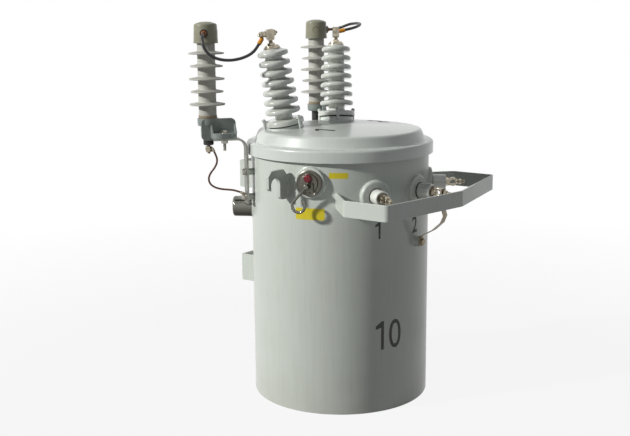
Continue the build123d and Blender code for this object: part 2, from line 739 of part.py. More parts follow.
# ---------------------------------------------------------------- lugs, hangers, tap changer
def make_lifting_lug(side):
    """Plate with a hook notch that opens downwards."""
    outer = LUG_REACH
    points = [
        (-WELD_SINK, 0),
        (LUG_TOE, 0),
        (outer, LUG_LEG_RISE),
        (outer, LUG_HEIGHT),
        (LUG_HEEL, LUG_HEIGHT),
        (-WELD_SINK, LUG_HEIGHT - LUG_HEEL - WELD_SINK),
    ]
    face = chamfer(outline(points, {}).vertices().sort_by_distance((outer, LUG_HEIGHT, 0))[0], LUG_CORNER)
    notch = Pos(LUG_NOTCH_OUT, LUG_NOTCH_UP) * Circle(LUG_NOTCH_R)
    notch += Pos(LUG_NOTCH_OUT, LUG_NOTCH_UP) * Rectangle(
        2 * LUG_NOTCH_R, LUG_HEIGHT, align=(Align.CENTER, Align.MAX)
    )
    plate = extrude(Plane.XZ * (face - notch), LUG_THICK / 2, both=True)
    return beside_tank(polar(side * 90, TANK_R, LUG_LOW_Z) * plate)


def make_hanger(low_z):
    """Channel bracket with a slotted face for a pole bolt, welded to the tank's back."""
    depth = HANGER_REACH + TANK_R / 2
    align = (Align.CENTER, Align.MAX, Align.MIN)
    channel = Box(HANGER_WIDTH, depth, HANGER_HEIGHT, align=align)
    hollow = Box(HANGER_WIDTH - 2 * HANGER_PLATE, depth, HANGER_HEIGHT, align=align)
    channel -= Pos(0, -HANGER_PLATE, 0) * hollow
    corners = channel.edges().filter_by(Axis.Z).group_by(Axis.Y)[-1]
    channel = fillet(corners, HANGER_ROUND)
    slot = Plane.XZ * SlotOverall(SLOT_LENGTH, SLOT_WIDTH, rotation=90)
    channel -= Pos(0, 0, HANGER_HEIGHT / 2) * extrude(slot, 2 * HANGER_PLATE, both=True)
    return beside_tank(Pos(0, TANK_R + HANGER_REACH, low_z) * channel, WALL_FIT)


def make_tap_changer():
    """Polished metal cup over the tap changer's knob."""
    points = [(0, -WELD_SINK), (TAP_R, -WELD_SINK), (TAP_R, TAP_REACH), (0, TAP_REACH)]
    cup = polar(TAP_BEARING, TANK_R, TAP_Z) * Rot(0, 90, 0) * spun(outline(points, {2: TAP_ROUND}))
    return beside_tank(cup)


# ---------------------------------------------------------------- breaker
def breaker_frame():
    """Location on the tank's wall under the breaker: X points outwards."""
    return polar(BREAKER_BEARING, TANK_R, BREAKER_Z)


def make_breaker_plate():
    """Boss, stamped disc with a raised middle and a pointer, and the bearing of the handle's shaft."""
    disc = rod(DISC_R, 0, BREAKER_BOSS + DISC)
    dome = rod(DOME_R, 0, BREAKER_FACE)
    dome = fillet(dome.edges().sort_by(Axis.X)[-1], DOME_ROUND)
    pointer = Box(POINTER_REACH, POINTER_WIDTH, POINTER_LENGTH, align=(Align.MIN, Align.CENTER, Align.MAX))
    pointer = Pos(BREAKER_FACE, POINTER_ASIDE, POINTER_TOP) * pointer
    plate = rod(BREAKER_BOSS_R, -WELD_SINK, BREAKER_BOSS) + disc + dome + pointer
    plate -= Pos(0, 0, -SHAFT_DROP) * rod(SHAFT_R + SHAFT_CLEAR, -WELD_SINK, BREAKER_FACE + OVERLAP)
    return beside_tank(breaker_frame() * plate)


def make_breaker_lamp():
    """Red lens of the overload lamp above the handle."""
    top = LAMP_COLLAR + LAMP_BULGE
    points = [(0, 0), (LAMP_R, 0), (LAMP_R, LAMP_COLLAR), (LAMP_R - LAMP_EDGE_IN, top - LAMP_CROWN), (0, top)]
    lens = spun(outline(points, {3: LAMP_ROUND}))
    return breaker_frame() * Pos(BREAKER_FACE, 0, LAMP_RISE) * Rot(0, 90, 0) * lens


def make_breaker_handle():
    """Shaft and lever, its end bent round into an open eye for a hot stick."""
    lever_x = BREAKER_FACE + LEVER_STANDOFF
    shaft = rod(SHAFT_R, BREAKER_BOSS, lever_x + HANDLE_WIRE_R + SHAFT_END)
    centre = (-EYE_ASIDE, -EYE_DROP)
    towards_eye = degrees(atan2(-EYE_DROP, -EYE_ASIDE))
    tangent_turn = degrees(acos(EYE_R / hypot(EYE_ASIDE, EYE_DROP)))
    touch = towards_eye + 180 + tangent_turn
    hook = CenterArc(centre, EYE_R, touch, EYE_SWEEP)
    lever = Line((0, 0), hook @ 0)
    path = Plane.YZ * Wire([lever.edge(), hook.edge()])
    section = Plane(origin=path @ 0, z_dir=path % 0) * Circle(HANDLE_WIRE_R)
    wire = Pos(lever_x, 0, 0) * sweep(section, path)
    return breaker_frame() * Pos(0, 0, -SHAFT_DROP) * (shaft + wire)


# ---------------------------------------------------------------- neutral strap
def make_ground_boss():
    """Threaded boss on the tank with the bolt of the neutral strap."""
    place = polar(0, TANK_R, GROUND_BOSS_Z)
    face = GROUND_BOSS + NEUTRAL_THICK
    boss = beside_tank(place * rod(GROUND_BOSS_R, -WELD_SINK, GROUND_BOSS))
    stud = rod(STUD_R, OVERLAP, face + GROUND_HEAD / 4)
    return boss + place * (stud + hexagon(GROUND_HEAD_R, face, face + GROUND_HEAD))


def make_neutral_strap():
    """Thin strip from the middle low-voltage terminal, under the guard, to the ground boss."""
    half = NEUTRAL_THICK / 2
    low_x = TANK_R + GROUND_BOSS + half
    eye_end = WASHER + LV_NUT + 2 * LV_EYE_R
    top_x = TANK_R + LV_BOSS + LV_GASKET + LV_PORCELAIN - LV_SUNK + eye_end + half
    points = [
        (low_x, GROUND_BOSS_Z - NEUTRAL_WIDTH / 2),
        (low_x, GROUND_BOSS_Z + NEUTRAL_FOOT_RISE),
        *[(top_x + out, GROUND_BOSS_Z + up) for out, up in NEUTRAL_BENDS],
        (top_x, LV_Z + NEUTRAL_OVER),
    ]
    path = Plane.XZ * FilletPolyline(*points, radius=NEUTRAL_BEND_R)
    strip = along_bar(path, NEUTRAL_WIDTH, NEUTRAL_THICK, (0, 1, 0))
    strip -= Pos(0, 0, GROUND_BOSS_Z) * rod(STUD_R + WALL_FIT, 0, low_x + NEUTRAL_THICK)
    strip -= Pos(0, 0, LV_Z) * rod(LV_STUD_R + WALL_FIT, 0, top_x + NEUTRAL_THICK)
    return polar(0) * strip


# ---------------------------------------------------------------- cords and their lugs
def make_jumper_lugs():
    """Sleeved cable lug at the end of each jumper, with its ring on the terminal's bolt."""
    near = HV_BLOCK / 2 + HV_NUT
    ring = rod(JUMPER_LUG_R, near, near + JUMPER_LUG_PLATE)
    solids = []
    for _, side in SIDES:
        sleeve = Pos(near, 0, 0) * lug_sleeve(JUMPER_MOUTHS[side], JUMPER_SLEEVE_R, JUMPER_SLEEVE, 1, 1)
        solids.append(hv_bolt_frame(side) * (ring + sleeve - cross_bolt()))
    return Compound(solids)


def make_lead_lugs():
    """Ring lugs at both ends of each ground lead."""
    strap_face = STRAP_GAP + STRAP_THICK
    face = strap_face + WASHER
    ring = rod(LEAD_LUG_R, face, face + LEAD_LUG_PLATE) - rod(STUD_R + LUG_CLEAR, 0, face + STRAP_HEAD)
    collar_low = DISCONNECTOR_LOW - DISCONNECTOR_NUT_DOWN - LEAD_LUG_PLATE
    collar = post(LEAD_LUG_R, collar_low, collar_low + LEAD_LUG_PLATE)
    collar -= post(STUD_R + LUG_CLEAR, collar_low - OVERLAP, collar_low + STRAP_HEAD)
    solids = []
    for _, side in SIDES:
        sleeve = Pos(strap_face, 0, 0) * lug_sleeve(LEAD_BOLT_MOUTH, LEAD_SLEEVE_R, LEAD_SLEEVE, side, 1)
        solids.append(strap_frame(side, STRAP_BOLT_Z[0]) * (ring + sleeve - strap_bolt(LEAD_LUG_PLATE)))
        sleeve = Pos(0, 0, collar_low) * lug_sleeve(LEAD_STUD_MOUTH, LEAD_SLEEVE_R, LEAD_SLEEVE, side, 0)
        solids.append(arrester_frame(side) * (collar + sleeve) - make_arrester_disconnector(side))
    return Compound(solids)


def corner_radii(route):
    """Largest radius at each corner that its two runs allow."""
    radii = []
    for a, b, c in zip(route, route[1:], route[2:]):
        first = Vector(*b) - Vector(*a)
        second = Vector(*c) - Vector(*b)
        half = radians(first.get_angle(second)) / 2
        radii.append(RUN_SHARE * min(first.length, second.length) / tan(half))
    return radii


def make_cord(name, route, radius):
    """Round cord along a route of straight runs joined by tangent arcs."""
    radii = corner_radii(route)
    path = FilletPolyline(*route, radius=radii)
    section = Plane(origin=path @ 0, z_dir=path % 0) * Circle(radius)
    cord = sweep(section, path)
    ratio = cord.volume / (pi * radius**2 * path.length)
    print(name, f"length {path.length:.0f} volume ratio {ratio:.3f} radii", [round(r) for r in radii])
    return cord


nodes = {
    "tank_wall": make_tank_wall(),
    "tank_bottom": make_tank_bottom(),
    "cover": make_cover(),
    "cover_gasket": make_cover_gasket(),
    "hv_gaskets": make_hv_gaskets(),
    "hv_clamps": make_hv_clamps(),
    "strap_bosses": make_strap_bosses(),
    "strap_bolts": make_strap_bolts(),
    "shelf_bolts": make_shelf_bolts(),
    "lv_bosses": make_lv_bosses(),
    "lv_gaskets": make_lv_gaskets(),
    "lv_guard": make_lv_guard(),
    "lifting_lug_left": make_lifting_lug(-1),
    "lifting_lug_right": make_lifting_lug(1),
    "hanger_lower": make_hanger(HANGER_LOW_Z),
    "hanger_upper": make_hanger(HANGER_LOW_Z + HANGER_SPACING),
    "tap_changer_cup": make_tap_changer(),
    "breaker_plate": make_breaker_plate(),
    "breaker_lamp": make_breaker_lamp(),
    "breaker_handle": make_breaker_handle(),
    "ground_boss": make_ground_boss(),
    "neutral_strap": make_neutral_strap(),
    "jumper_lugs": make_jumper_lugs(),
    "lead_lugs": make_lead_lugs(),
}
for number, side in SIDES:
    nodes[f"hv_bushing_{number}"] = make_hv_bushing(side)
    nodes[f"hv_terminal_{number}"] = make_hv_terminal(side)
    nodes[f"arrester_body_{number}"] = make_arrester_body(side)
    nodes[f"arrester_cap_{number}"] = make_arrester_cap(side)
    nodes[f"arrester_strap_{number}"] = make_arrester_strap(side)
    nodes[f"arrester_bracket_{number}"] = make_arrester_bracket(side)
    nodes[f"arrester_disconnector_{number}"] = make_arrester_disconnector(side)
    nodes[f"jumper_{number}"] = make_cord(f"jumper_{number}", JUMPER_ROUTES[side], JUMPER_R)
    nodes[f"ground_lead_{number}"] = make_cord(f"ground_lead_{number}", LEAD_ROUTES[side], LEAD_R)
for number, bearing in enumerate(LV_BEARINGS, start=1):
    nodes[f"lv_bushing_{number}"] = make_lv_bushing(bearing)
    nodes[f"lv_terminal_{number}"] = make_lv_terminal(bearing)

os.makedirs("parts", exist_ok=True)
for name, shape in nodes.items():
    export_step(shape, f"parts/{name}.step")
print(len(nodes), "nodes")
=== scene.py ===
import logging
import math
from dataclasses import dataclass
from enum import Enum
from typing import Any, ClassVar, Iterable, Sequence

import bmesh
import bpy
import numpy as np
from mathutils import Matrix, Vector


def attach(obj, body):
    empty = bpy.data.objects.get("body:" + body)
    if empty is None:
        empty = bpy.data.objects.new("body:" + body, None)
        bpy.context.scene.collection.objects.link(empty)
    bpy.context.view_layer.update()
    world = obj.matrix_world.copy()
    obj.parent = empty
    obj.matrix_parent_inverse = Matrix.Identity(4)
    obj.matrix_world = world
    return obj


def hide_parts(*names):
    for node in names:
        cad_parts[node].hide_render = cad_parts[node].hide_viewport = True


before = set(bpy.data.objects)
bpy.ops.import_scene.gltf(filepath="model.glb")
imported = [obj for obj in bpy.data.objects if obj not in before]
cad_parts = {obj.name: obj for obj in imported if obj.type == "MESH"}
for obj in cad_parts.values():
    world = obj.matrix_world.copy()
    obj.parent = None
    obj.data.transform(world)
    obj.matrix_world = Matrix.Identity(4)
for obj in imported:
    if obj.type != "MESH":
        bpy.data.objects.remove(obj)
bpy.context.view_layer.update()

LOG = logging.getLogger("transformer")
MM = 0.001
SIDES = ((1, -1), (2, 1))  # number and sign of x of each side
TANK_R = 225.0  # radius of the tank
STRAP_BEARING = 129.0  # bearing of the arresters' straps on either side
BREAKER_BEARING, BREAKER_Z = -73.3, 575.0  # bearing and height of the breaker's shaft
FLAT_SHARE = 0.96  # share of a nut's inner circle that its chamfer leaves flat
CHAMFER = math.tan(math.radians(28))  # slope of that chamfer
PITCH = 1.25  # pitch of an M8 thread, used for every small bolt and stud
COARSE = 1.75  # pitch of the thick stems
GROOVE = 0.55  # depth of a thread's groove against its pitch
Array = np.ndarray
Tree = bpy.types.NodeTree
Socket = bpy.types.NodeSocket


# ---------------------------------------------------------------- places
class Axis(Enum):
    """The axes that a place is turned about."""

    X = "X"
    Y = "Y"
    Z = "Z"


def shift(x: float = 0.0, y: float = 0.0, z: float = 0.0) -> Array:
    """Place moved from the origin.

    Args:
        x: Millimetres along X.
        y: Millimetres along Y.
        z: Millimetres along Z.

    Returns:
        The place as a 4 by 4 matrix.
    """
    place = np.eye(4)
    place[:3, 3] = (x, y, z)
    return place


def turn(axis: Axis, degrees: float) -> Array:
    """Place turned about one axis by the usual block of cosines and sines."""
    return np.array(Matrix.Rotation(math.radians(degrees), 4, axis.value))


def polar(bearing: float, radius: float = 0.0, z: float = 0.0) -> Array:
    """Place at a bearing and radius round the tank.

    Args:
        bearing: Degrees from -Y towards +X.
        radius: Distance from the tank's axis.
        z: Height.

    Returns:
        Place whose X points outwards and whose Y runs along the rising bearing.
    """
    return turn(Axis.Z, bearing - 90) @ shift(radius, 0, z)


OUTWARD = turn(Axis.Y, 90)  # lays a turned shape's axis along the place's X


# ---------------------------------------------------------------- surfaces
@dataclass
class Surface:
    """Mesh in millimetres: points, and arrays of faces of equal length."""

    points: Array
    faces: list[Array]

    def placed(self, place: Array) -> "Surface":
        """The surface moved and turned: each point times the place's matrix."""
        return Surface(self.points @ place[:3, :3].T + place[:3, 3], self.faces)

    def __add__(self, other: "Surface") -> "Surface":
        """Both surfaces in one mesh, the second one's faces numbered after the first's."""
        moved = [face + len(self.points) for face in other.faces]
        return Surface(np.concatenate([self.points, other.points]), self.faces + moved)


def joined(surfaces: Iterable[Surface]) -> Surface:
    """Several surfaces as one.

    Args:
        surfaces: The surfaces.

    Returns:
        All of them in one mesh.
    """
    parts = list(surfaces)
    whole = parts[0]
    for part in parts[1:]:
        whole = whole + part
    return whole


def grid(points: Array, wrap_rows: bool = False, wrap_cols: bool = True) -> Surface:
    """Surface over a grid of points: each cell's four corners make one face.

    Args:
        points: Array of rows by columns by 3.
        wrap_rows: Whether the last row meets the first.
        wrap_cols: Whether the last column meets the first.

    Returns:
        The surface, one quad a cell.
    """
    rows, cols = points.shape[:2]
    down, along = np.meshgrid(
        np.arange(rows if wrap_rows else rows - 1), np.arange(cols if wrap_cols else cols - 1), indexing="ij"
    )
    below, after = (down + 1) % rows, (along + 1) % cols
    corners = [down * cols + along, down * cols + after, below * cols + after, below * cols + along]
    return Surface(points.reshape(-1, 3), [np.stack(corners, -1).reshape(-1, 4)])


def rounded(
    corners: Sequence[tuple[float, float]], rounds: dict[int, float], steps: int = 5, closed: bool = False
) -> Array:
    """Outline with an arc at its named corners.

    The arc of radius r touches both sides at r over the tangent of half the corner's angle, and its
    middle lies on the bisector at r over the sine of that half.

    Args:
        corners: Corner points.
        rounds: Radius for each corner that has one, by its place in the list.
        steps: Straight steps in each arc.
        closed: Whether the outline closes on itself.

    Returns:
        Points of the outline.
    """
    points = np.asarray(corners, float)
    out: list[Array] = []
    for i, point in enumerate(points):
        radius = rounds.get(i, 0.0)
        if not radius or (not closed and i in (0, len(points) - 1)):
            out.append(point[None])
            continue
        back, on = points[i - 1] - point, points[(i + 1) % len(points)] - point
        back, on = back / np.linalg.norm(back), on / np.linalg.norm(on)
        half = math.acos(float(np.clip(back @ on, -1, 1))) / 2
        middle = point + (back + on) / np.linalg.norm(back + on) * radius / math.sin(half)
        ends = [point + way * radius / math.tan(half) - middle for way in (back, on)]
        first, last = (math.atan2(end[1], end[0]) for end in ends)
        sweep_angle = (last - first + math.pi) % (2 * math.pi) - math.pi
        angles = first + sweep_angle * np.linspace(0, 1, steps + 1)
        out.append(middle + radius * np.stack([np.cos(angles), np.sin(angles)], -1))
    return np.concatenate(out)


def lathe(profile: Array, segments: int = 72, closed: bool = False) -> Surface:
    """Turned surface: each profile point (r, z) goes to (r cos a, r sin a, z) for a whole turn of a.

    Args:
        profile: Radii and heights; it starts and ends on the axis unless it is closed.
        segments: Steps in the turn.
        closed: Whether the profile closes on itself, as on a ring.

    Returns:
        The surface about Z.
    """
    angle = np.linspace(0, 2 * math.pi, segments, endpoint=False)
    radius, height = profile[:, 0, None], profile[:, 1, None]
    points = np.stack([radius * np.cos(angle), radius * np.sin(angle), height + 0 * angle], -1)
    return grid(points, wrap_rows=closed)


def ring(inner: float, outer: float, low: float, high: float, edge: float = 0.4, segments: int = 72) -> Surface:
    """Turned ring of a rectangle with rounded corners."""
    corners = [(inner, low), (outer, low), (outer, high), (inner, high)]
    return lathe(rounded(corners, dict.fromkeys(range(4), edge), 2, True), segments, True)


def disc(radius: float, low: float, high: float, edge: float = 0.4, segments: int = 72) -> Surface:
    """Turned disc with a rounded rim."""
    corners = [(0, low), (radius, low), (radius, high), (0, high)]
    return lathe(rounded(corners, {1: edge, 2: edge}, 3), segments)


def hex_nut(radius: float, low: float, high: float, steps: int = 72) -> Surface:
    """Hexagonal nut or bolt head with both its faces chamfered.

    A side lies at the inner radius over the cosine of the angle from its middle, and the chamfer takes
    off what stands out beyond the inner circle, times the tangent of 28 degrees.

    Args:
        radius: Distance from the axis to a corner.
        low: Height of its lower face.
        high: Height of its upper face.
        steps: Steps in the turn, a multiple of six.

    Returns:
        The closed surface about Z.
    """
    angle = np.linspace(0, 2 * math.pi, steps, endpoint=False)
    inner = radius * math.cos(math.pi / 6)
    side = inner / np.cos(angle % (math.pi / 3) - math.pi / 6)
    drop = (side - FLAT_SHARE * inner) * CHAMFER
    flat = FLAT_SHARE * inner + 0 * angle
    radii = np.stack([0 * angle, flat, side, side, flat, 0 * angle])
    level = np.zeros_like(angle)
    heights = np.stack([level + low, level + low, low + drop, high - drop, level + high, level + high])
    return grid(np.stack([radii * np.cos(angle), radii * np.sin(angle), heights], -1))


def thread(radius: float, low: float, high: float, pitch: float = 1.5) -> Surface:
    """Screw thread on a rod, its ends chamfered.

    The radius falls by 0.55 of the pitch times a triangle wave of the height over the pitch less the
    share of a turn, which winds the groove once round for each pitch.

    Args:
        radius: Outer radius.
        low: Height of its lower end.
        high: Height of its upper end.
        pitch: Height of one turn.

    Returns:
        The closed surface about Z.
    """
    angle = np.linspace(0, 2 * math.pi, 20, endpoint=False)
    height = np.linspace(low, high, int((high - low) / pitch * 5) + 2)[:, None]
    wave = np.abs((height / pitch - angle / (2 * math.pi)) % 1 * 2 - 1)
    end = radius - 0.7 * pitch + np.minimum(height - low, high - height)
    reach = np.minimum(radius - GROOVE * pitch * wave, end)
    body = np.stack([reach * np.cos(angle), reach * np.sin(angle), height + 0 * angle], -1)
    caps = [np.broadcast_to([0.0, 0.0, z], (1, len(angle), 3)) for z in (low, high)]
    return grid(np.concatenate([caps[0], body, caps[1]]))


def carried(path: Array, first: Array, second: Array, section: Array, closed: bool = False) -> Surface:
    """Section carried along a path: each point is the path's point plus x times first plus y times second.

    Args:
        path: Points of the path, n by 3.
        first: Direction of the section's x, one for all points or one for each.
        second: Direction of the section's y, likewise.
        section: Points of the section, m by 2, or n by m by 2 where it changes along the path.
        closed: Whether the path meets itself; an open one is capped at both ends.

    Returns:
        The closed surface.
    """
    first, second = (np.broadcast_to(way, path.shape)[:, None] for way in (first, second))
    section = np.broadcast_to(section, (len(path), *section.shape[-2:]))
    points = path[:, None] + section[..., 0:1] * first + section[..., 1:2] * second
    if closed:
        return grid(points, wrap_rows=True)
    caps = [np.repeat(points[end].mean(0)[None, None], points.shape[1], 1) for end in (0, -1)]
    return grid(np.concatenate([caps[0], points, caps[1]]))


def tube(path: Array, across: Array, radius: float | Array, sides: int = 16, closed: bool = False) -> Surface:
    """Round tube along a path.

    Args:
        path: Points of the path, n by 3.
        across: Directions square to the path, one for all points or one for each.
        radius: Radius, one for all points or one for each.
        sides: Faces round the tube.
        closed: Whether the path meets itself.

    Returns:
        The closed surface.
    """
    ahead = np.roll(path, -1, 0) - np.roll(path, 1, 0) if closed else np.gradient(path, axis=0)
    ahead /= np.linalg.norm(ahead, axis=1, keepdims=True)
    first = np.broadcast_to(across, path.shape)
    second = np.cross(ahead, first)
    angle = np.linspace(0, 2 * math.pi, sides, endpoint=False)
    circle = np.stack([np.cos(angle), np.sin(angle)], -1)
    sections = circle * np.broadcast_to(np.asarray(radius, float), len(path))[:, None, None]
    return carried(path, first, second, sections, closed)


def bar(outline: Array, low: float, high: float) -> Surface:
    """Upright bar: an outline at two heights, its sides and its two ends.

    Args:
        outline: Points of the outline, n by 2.
        low: Height of the lower end.
        high: Height of the upper end.

    Returns:
        The closed surface.
    """
    count = len(outline)
    points = np.concatenate([np.column_stack([outline, np.full(count, z)]) for z in (low, high)])
    index = np.arange(count)
    sides = np.stack([index, (index + 1) % count, (index + 1) % count + count, index + count], -1)
    return Surface(points, [sides, index[None, ::-1], index[None] + count])


# ---------------------------------------------------------------- shader nodes
def linear(code: str) -> tuple[float, float, float, float]:
    """Linear colour of an sRGB hex code: below 0.04045 over 12.92, else ((c + 0.055) / 1.055) to the 2.4."""
    parts = [int(code[i : i + 2], 16) / 255 for i in (1, 3, 5)]
    return (*[c / 12.92 if c <= 0.04045 else ((c + 0.055) / 1.055) ** 2.4 for c in parts], 1.0)


def add(tree: Tree, kind: str, inputs: dict[str | int, Any] | None = None, **settings: Any) -> bpy.types.Node:
    """Adds a node with its settings and links.

    Args:
        tree: Node tree that it joins.
        kind: The node's type name without ShaderNode.
        inputs: For each input, by name or place, its value, or the output socket that feeds it, or a
            node whose first output feeds it.
        **settings: Properties of the node itself.

    Returns:
        The node.
    """
    node = tree.nodes.new("ShaderNode" + kind)
    for key, value in settings.items():
        setattr(node, key, value)
    for key, value in (inputs or {}).items():
        if isinstance(value, (bpy.types.Node, Socket)):
            tree.links.new(value if isinstance(value, Socket) else value.outputs[0], node.inputs[key])
        else:
            node.inputs[key].default_value = value
    return node


def emptied(owner: bpy.types.Material | bpy.types.World) -> Tree:
    """Switches a material or a world to nodes and takes out those that it starts with.

    Args:
        owner: The material or world.

    Returns:
        Its empty node tree.
    """
    owner.use_nodes = True
    owner.node_tree.nodes.clear()
    return owner.node_tree


def scale_of(size: float) -> float:
    """Texture scale whose features are about so many millimetres across: 1000 over the size."""
    return 1000.0 / size


def crevice_dirt_and_shade(tree: Tree, reach: float, open_at: float, shut_at: float, most: float) -> bpy.types.Node:
    """Share of dirt and painted shade where surfaces come close to each other: ambient occlusion darkens the
    colour in corners and recesses.

    Args:
        tree: Node tree that it joins.
        reach: How near another surface counts, in millimetres.
        open_at: Openness at which the dirt and painted shade start.
        shut_at: Openness at which it is full.
        most: Share of dirt and painted shade where it is full.

    Returns:
        The node that gives the share.
    """
    # Ambient occlusion: painted shade, mixed with dirt, where surfaces come close.
    around = add(tree, "AmbientOcclusion", {"Distance": reach * MM}, samples=6).outputs["AO"]
    return add(tree, "MapRange", {"Value": around, "From Min": open_at, "From Max": shut_at, "To Max": most})


# ---------------------------------------------------------------- finishes
@dataclass(frozen=True)
class Finish:
    """What a surface is made of and how it was made.

    Attributes:
        name: The material's common name.
        slot: The record's material slot that it stands for; not used.
        base: sRGB colour of the clean surface.
        soil_and_shade: sRGB colour of what lies on it or of its darker patches, and of the painted shade that
            the finish puts on it.
        rough: Roughness of the clean surface.
    """

    name: str
    slot: str
    base: str
    soil_and_shade: str
    rough: float

    def shade(self, tree: Tree, coords: Socket) -> tuple[bpy.types.Node, dict[str, Any]]:
        """Nodes of the finish.

        Args:
            tree: The material's node tree.
            coords: Output that holds object coordinates in metres.

        Returns:
            The node that gives the share of the soil_and_shade colour, and the shader's other inputs.
        """
        raise NotImplementedError

    def material(self) -> bpy.types.Material:
        """The finish as a material, made once: both colours mixed by the share, and the other inputs.

        Returns:
            The material.
        """
        made = bpy.data.materials.get(self.name)
        if made:
            return made
        made = bpy.data.materials.new(self.name)
        tree = emptied(made)
        share, inputs = self.shade(tree, add(tree, "TexCoord").outputs["Object"])
        colours = {0: share, 6: linear(self.base), 7: linear(self.soil_and_shade)}
        inputs["Base Color"] = add(tree, "Mix", colours, data_type="RGBA").outputs[2]
        add(tree, "OutputMaterial", {"Surface": add(tree, "BsdfPrincipled", inputs)})
        made.diffuse_color = linear(self.base)
        return made


@dataclass(frozen=True)
class Enamel(Finish):
    """Sprayed and stoved paint: a smooth film with an orange peel, thin dust and small marks.

    The peel is a fine bump that breaks up the highlight, the dust dulls broad patches and gathers near
    the ground, and fine streaks run down from the rain.

    Attributes:
        peel: Width of one cell of the orange peel, about 3 mm as sprayed.
        peel_height: Height of the peel.
        splash: Height that ground dust reaches, or 0.
        worn: Share of small chips that show the soil colour.
        gloss: Weight of the clear film over the paint.
    """

    peel: float = 3.0
    peel_height: float = 0.012
    splash: float = 0.0
    worn: float = 0.0
    gloss: float = 0.15

    def shade(self, tree: Tree, coords: Socket) -> tuple[bpy.types.Node, dict[str, Any]]:
        """Dust in patches, in streaks of rain and near the ground, chips, and the peel as a bump.

        Args:
            tree: The material's node tree.
            coords: Output that holds object coordinates in metres.

        Returns:
            The node that gives the share of the soil colour, and the shader's other inputs.
        """
        clouds = {"Scale": scale_of(120), "Detail": 4.0, "Roughness": 0.6}
        patches = add(tree, "TexNoise", {"Vector": coords, **clouds})
        run_down = add(tree, "Mapping", {"Vector": coords, "Scale": (1.0, 1.0, 0.06)})
        streaks = add(tree, "TexNoise", {"Vector": run_down, "Scale": scale_of(9), "Detail": 3.0})
        both = add(tree, "Math", {0: patches, 1: streaks}, operation="MULTIPLY")
        dusty = add(tree, "MapRange", {"Value": both, "From Min": 0.2, "From Max": 0.5, "To Max": 0.22})
        if self.splash:
            height = add(tree, "SeparateXYZ", {0: coords}).outputs["Z"]
            ends = {"From Min": self.splash * MM, "From Max": 0.0, "To Max": 0.5}
            near = add(tree, "MapRange", {"Value": height, **ends})
            rising = add(tree, "Math", {0: near, 1: patches}, operation="MULTIPLY")
            dusty = add(tree, "Math", {0: rising, 1: dusty}, operation="ADD", use_clamp=True)
        if self.worn:
            specks = {"Scale": scale_of(4), "Detail": 5.0, "Roughness": 0.7}
            grit = add(tree, "TexNoise", {"Vector": coords, **specks})
            ends = {"From Min": 0.72 - self.worn, "From Max": 0.75 - self.worn}
            chips = add(tree, "MapRange", {"Value": grit, **ends})
            dusty = add(tree, "Math", {0: chips, 1: dusty}, operation="MAXIMUM")
        rough = {"Value": patches, "To Min": self.rough - 0.05, "To Max": self.rough + 0.1}
        peel = add(tree, "TexNoise", {"Vector": coords, "Scale": scale_of(self.peel), "Detail": 1.0})
        return dusty, {
            "Roughness": add(tree, "MapRange", rough),
            "Normal": add(tree, "Bump", {"Height": peel, "Distance": self.peel_height * MM, "Strength": 1.0}),
            "IOR": 1.5,
            "Coat Weight": self.gloss,
            "Coat Roughness": 0.1,
        }


@dataclass(frozen=True)
class Glaze(Finish):
    """Fired porcelain under a glaze: a glassy skin over an even body, with soft cloudy shades.

    The skin gives sharp small highlights, slow waves in it bend them, and pinholes of 0.6 mm, drawn
    every 14 mm so that they show, break them.
    """

    def shade(self, tree: Tree, coords: Socket) -> tuple[bpy.types.Node, dict[str, Any]]:
        """Cloudy colour, dirt and painted shade where surfaces come close, waves and pinholes as a bump, a
        clear coat.

        Args:
            tree: The material's node tree.
            coords: Output that holds object coordinates in metres.

        Returns:
            The node that gives the share of the soil_and_shade colour, and the shader's other inputs.
        """
        cloud = add(tree, "TexNoise", {"Vector": coords, "Scale": scale_of(35), "Detail": 3.0})
        tint = add(tree, "MapRange", {"Value": cloud, "From Min": 0.35, "From Max": 0.75, "To Max": 0.35})
        # Painted shade mixed with dirt: ambient occlusion darkens the colour where surfaces come close.
        dirt_and_shade = crevice_dirt_and_shade(tree, 12, 0.75, 0.1, 0.45)
        pins = add(tree, "TexVoronoi", {"Vector": coords, "Scale": scale_of(14)})
        hole = add(tree, "MapRange", {"Value": pins, "From Min": 0.0, "From Max": 0.05, "To Min": -0.5})
        waves = add(tree, "TexNoise", {"Vector": coords, "Scale": scale_of(12), "Detail": 0.0})
        height = add(tree, "Math", {0: waves, 1: hole}, operation="ADD")
        return add(tree, "Math", {0: tint, 1: dirt_and_shade}, operation="MAXIMUM"), {
            "Roughness": self.rough,
            "Normal": add(tree, "Bump", {"Height": height, "Distance": 0.06 * MM, "Strength": 0.6}),
            "IOR": 1.54,
            "Coat Weight": 0.6,
            "Coat Roughness": 0.06,
        }


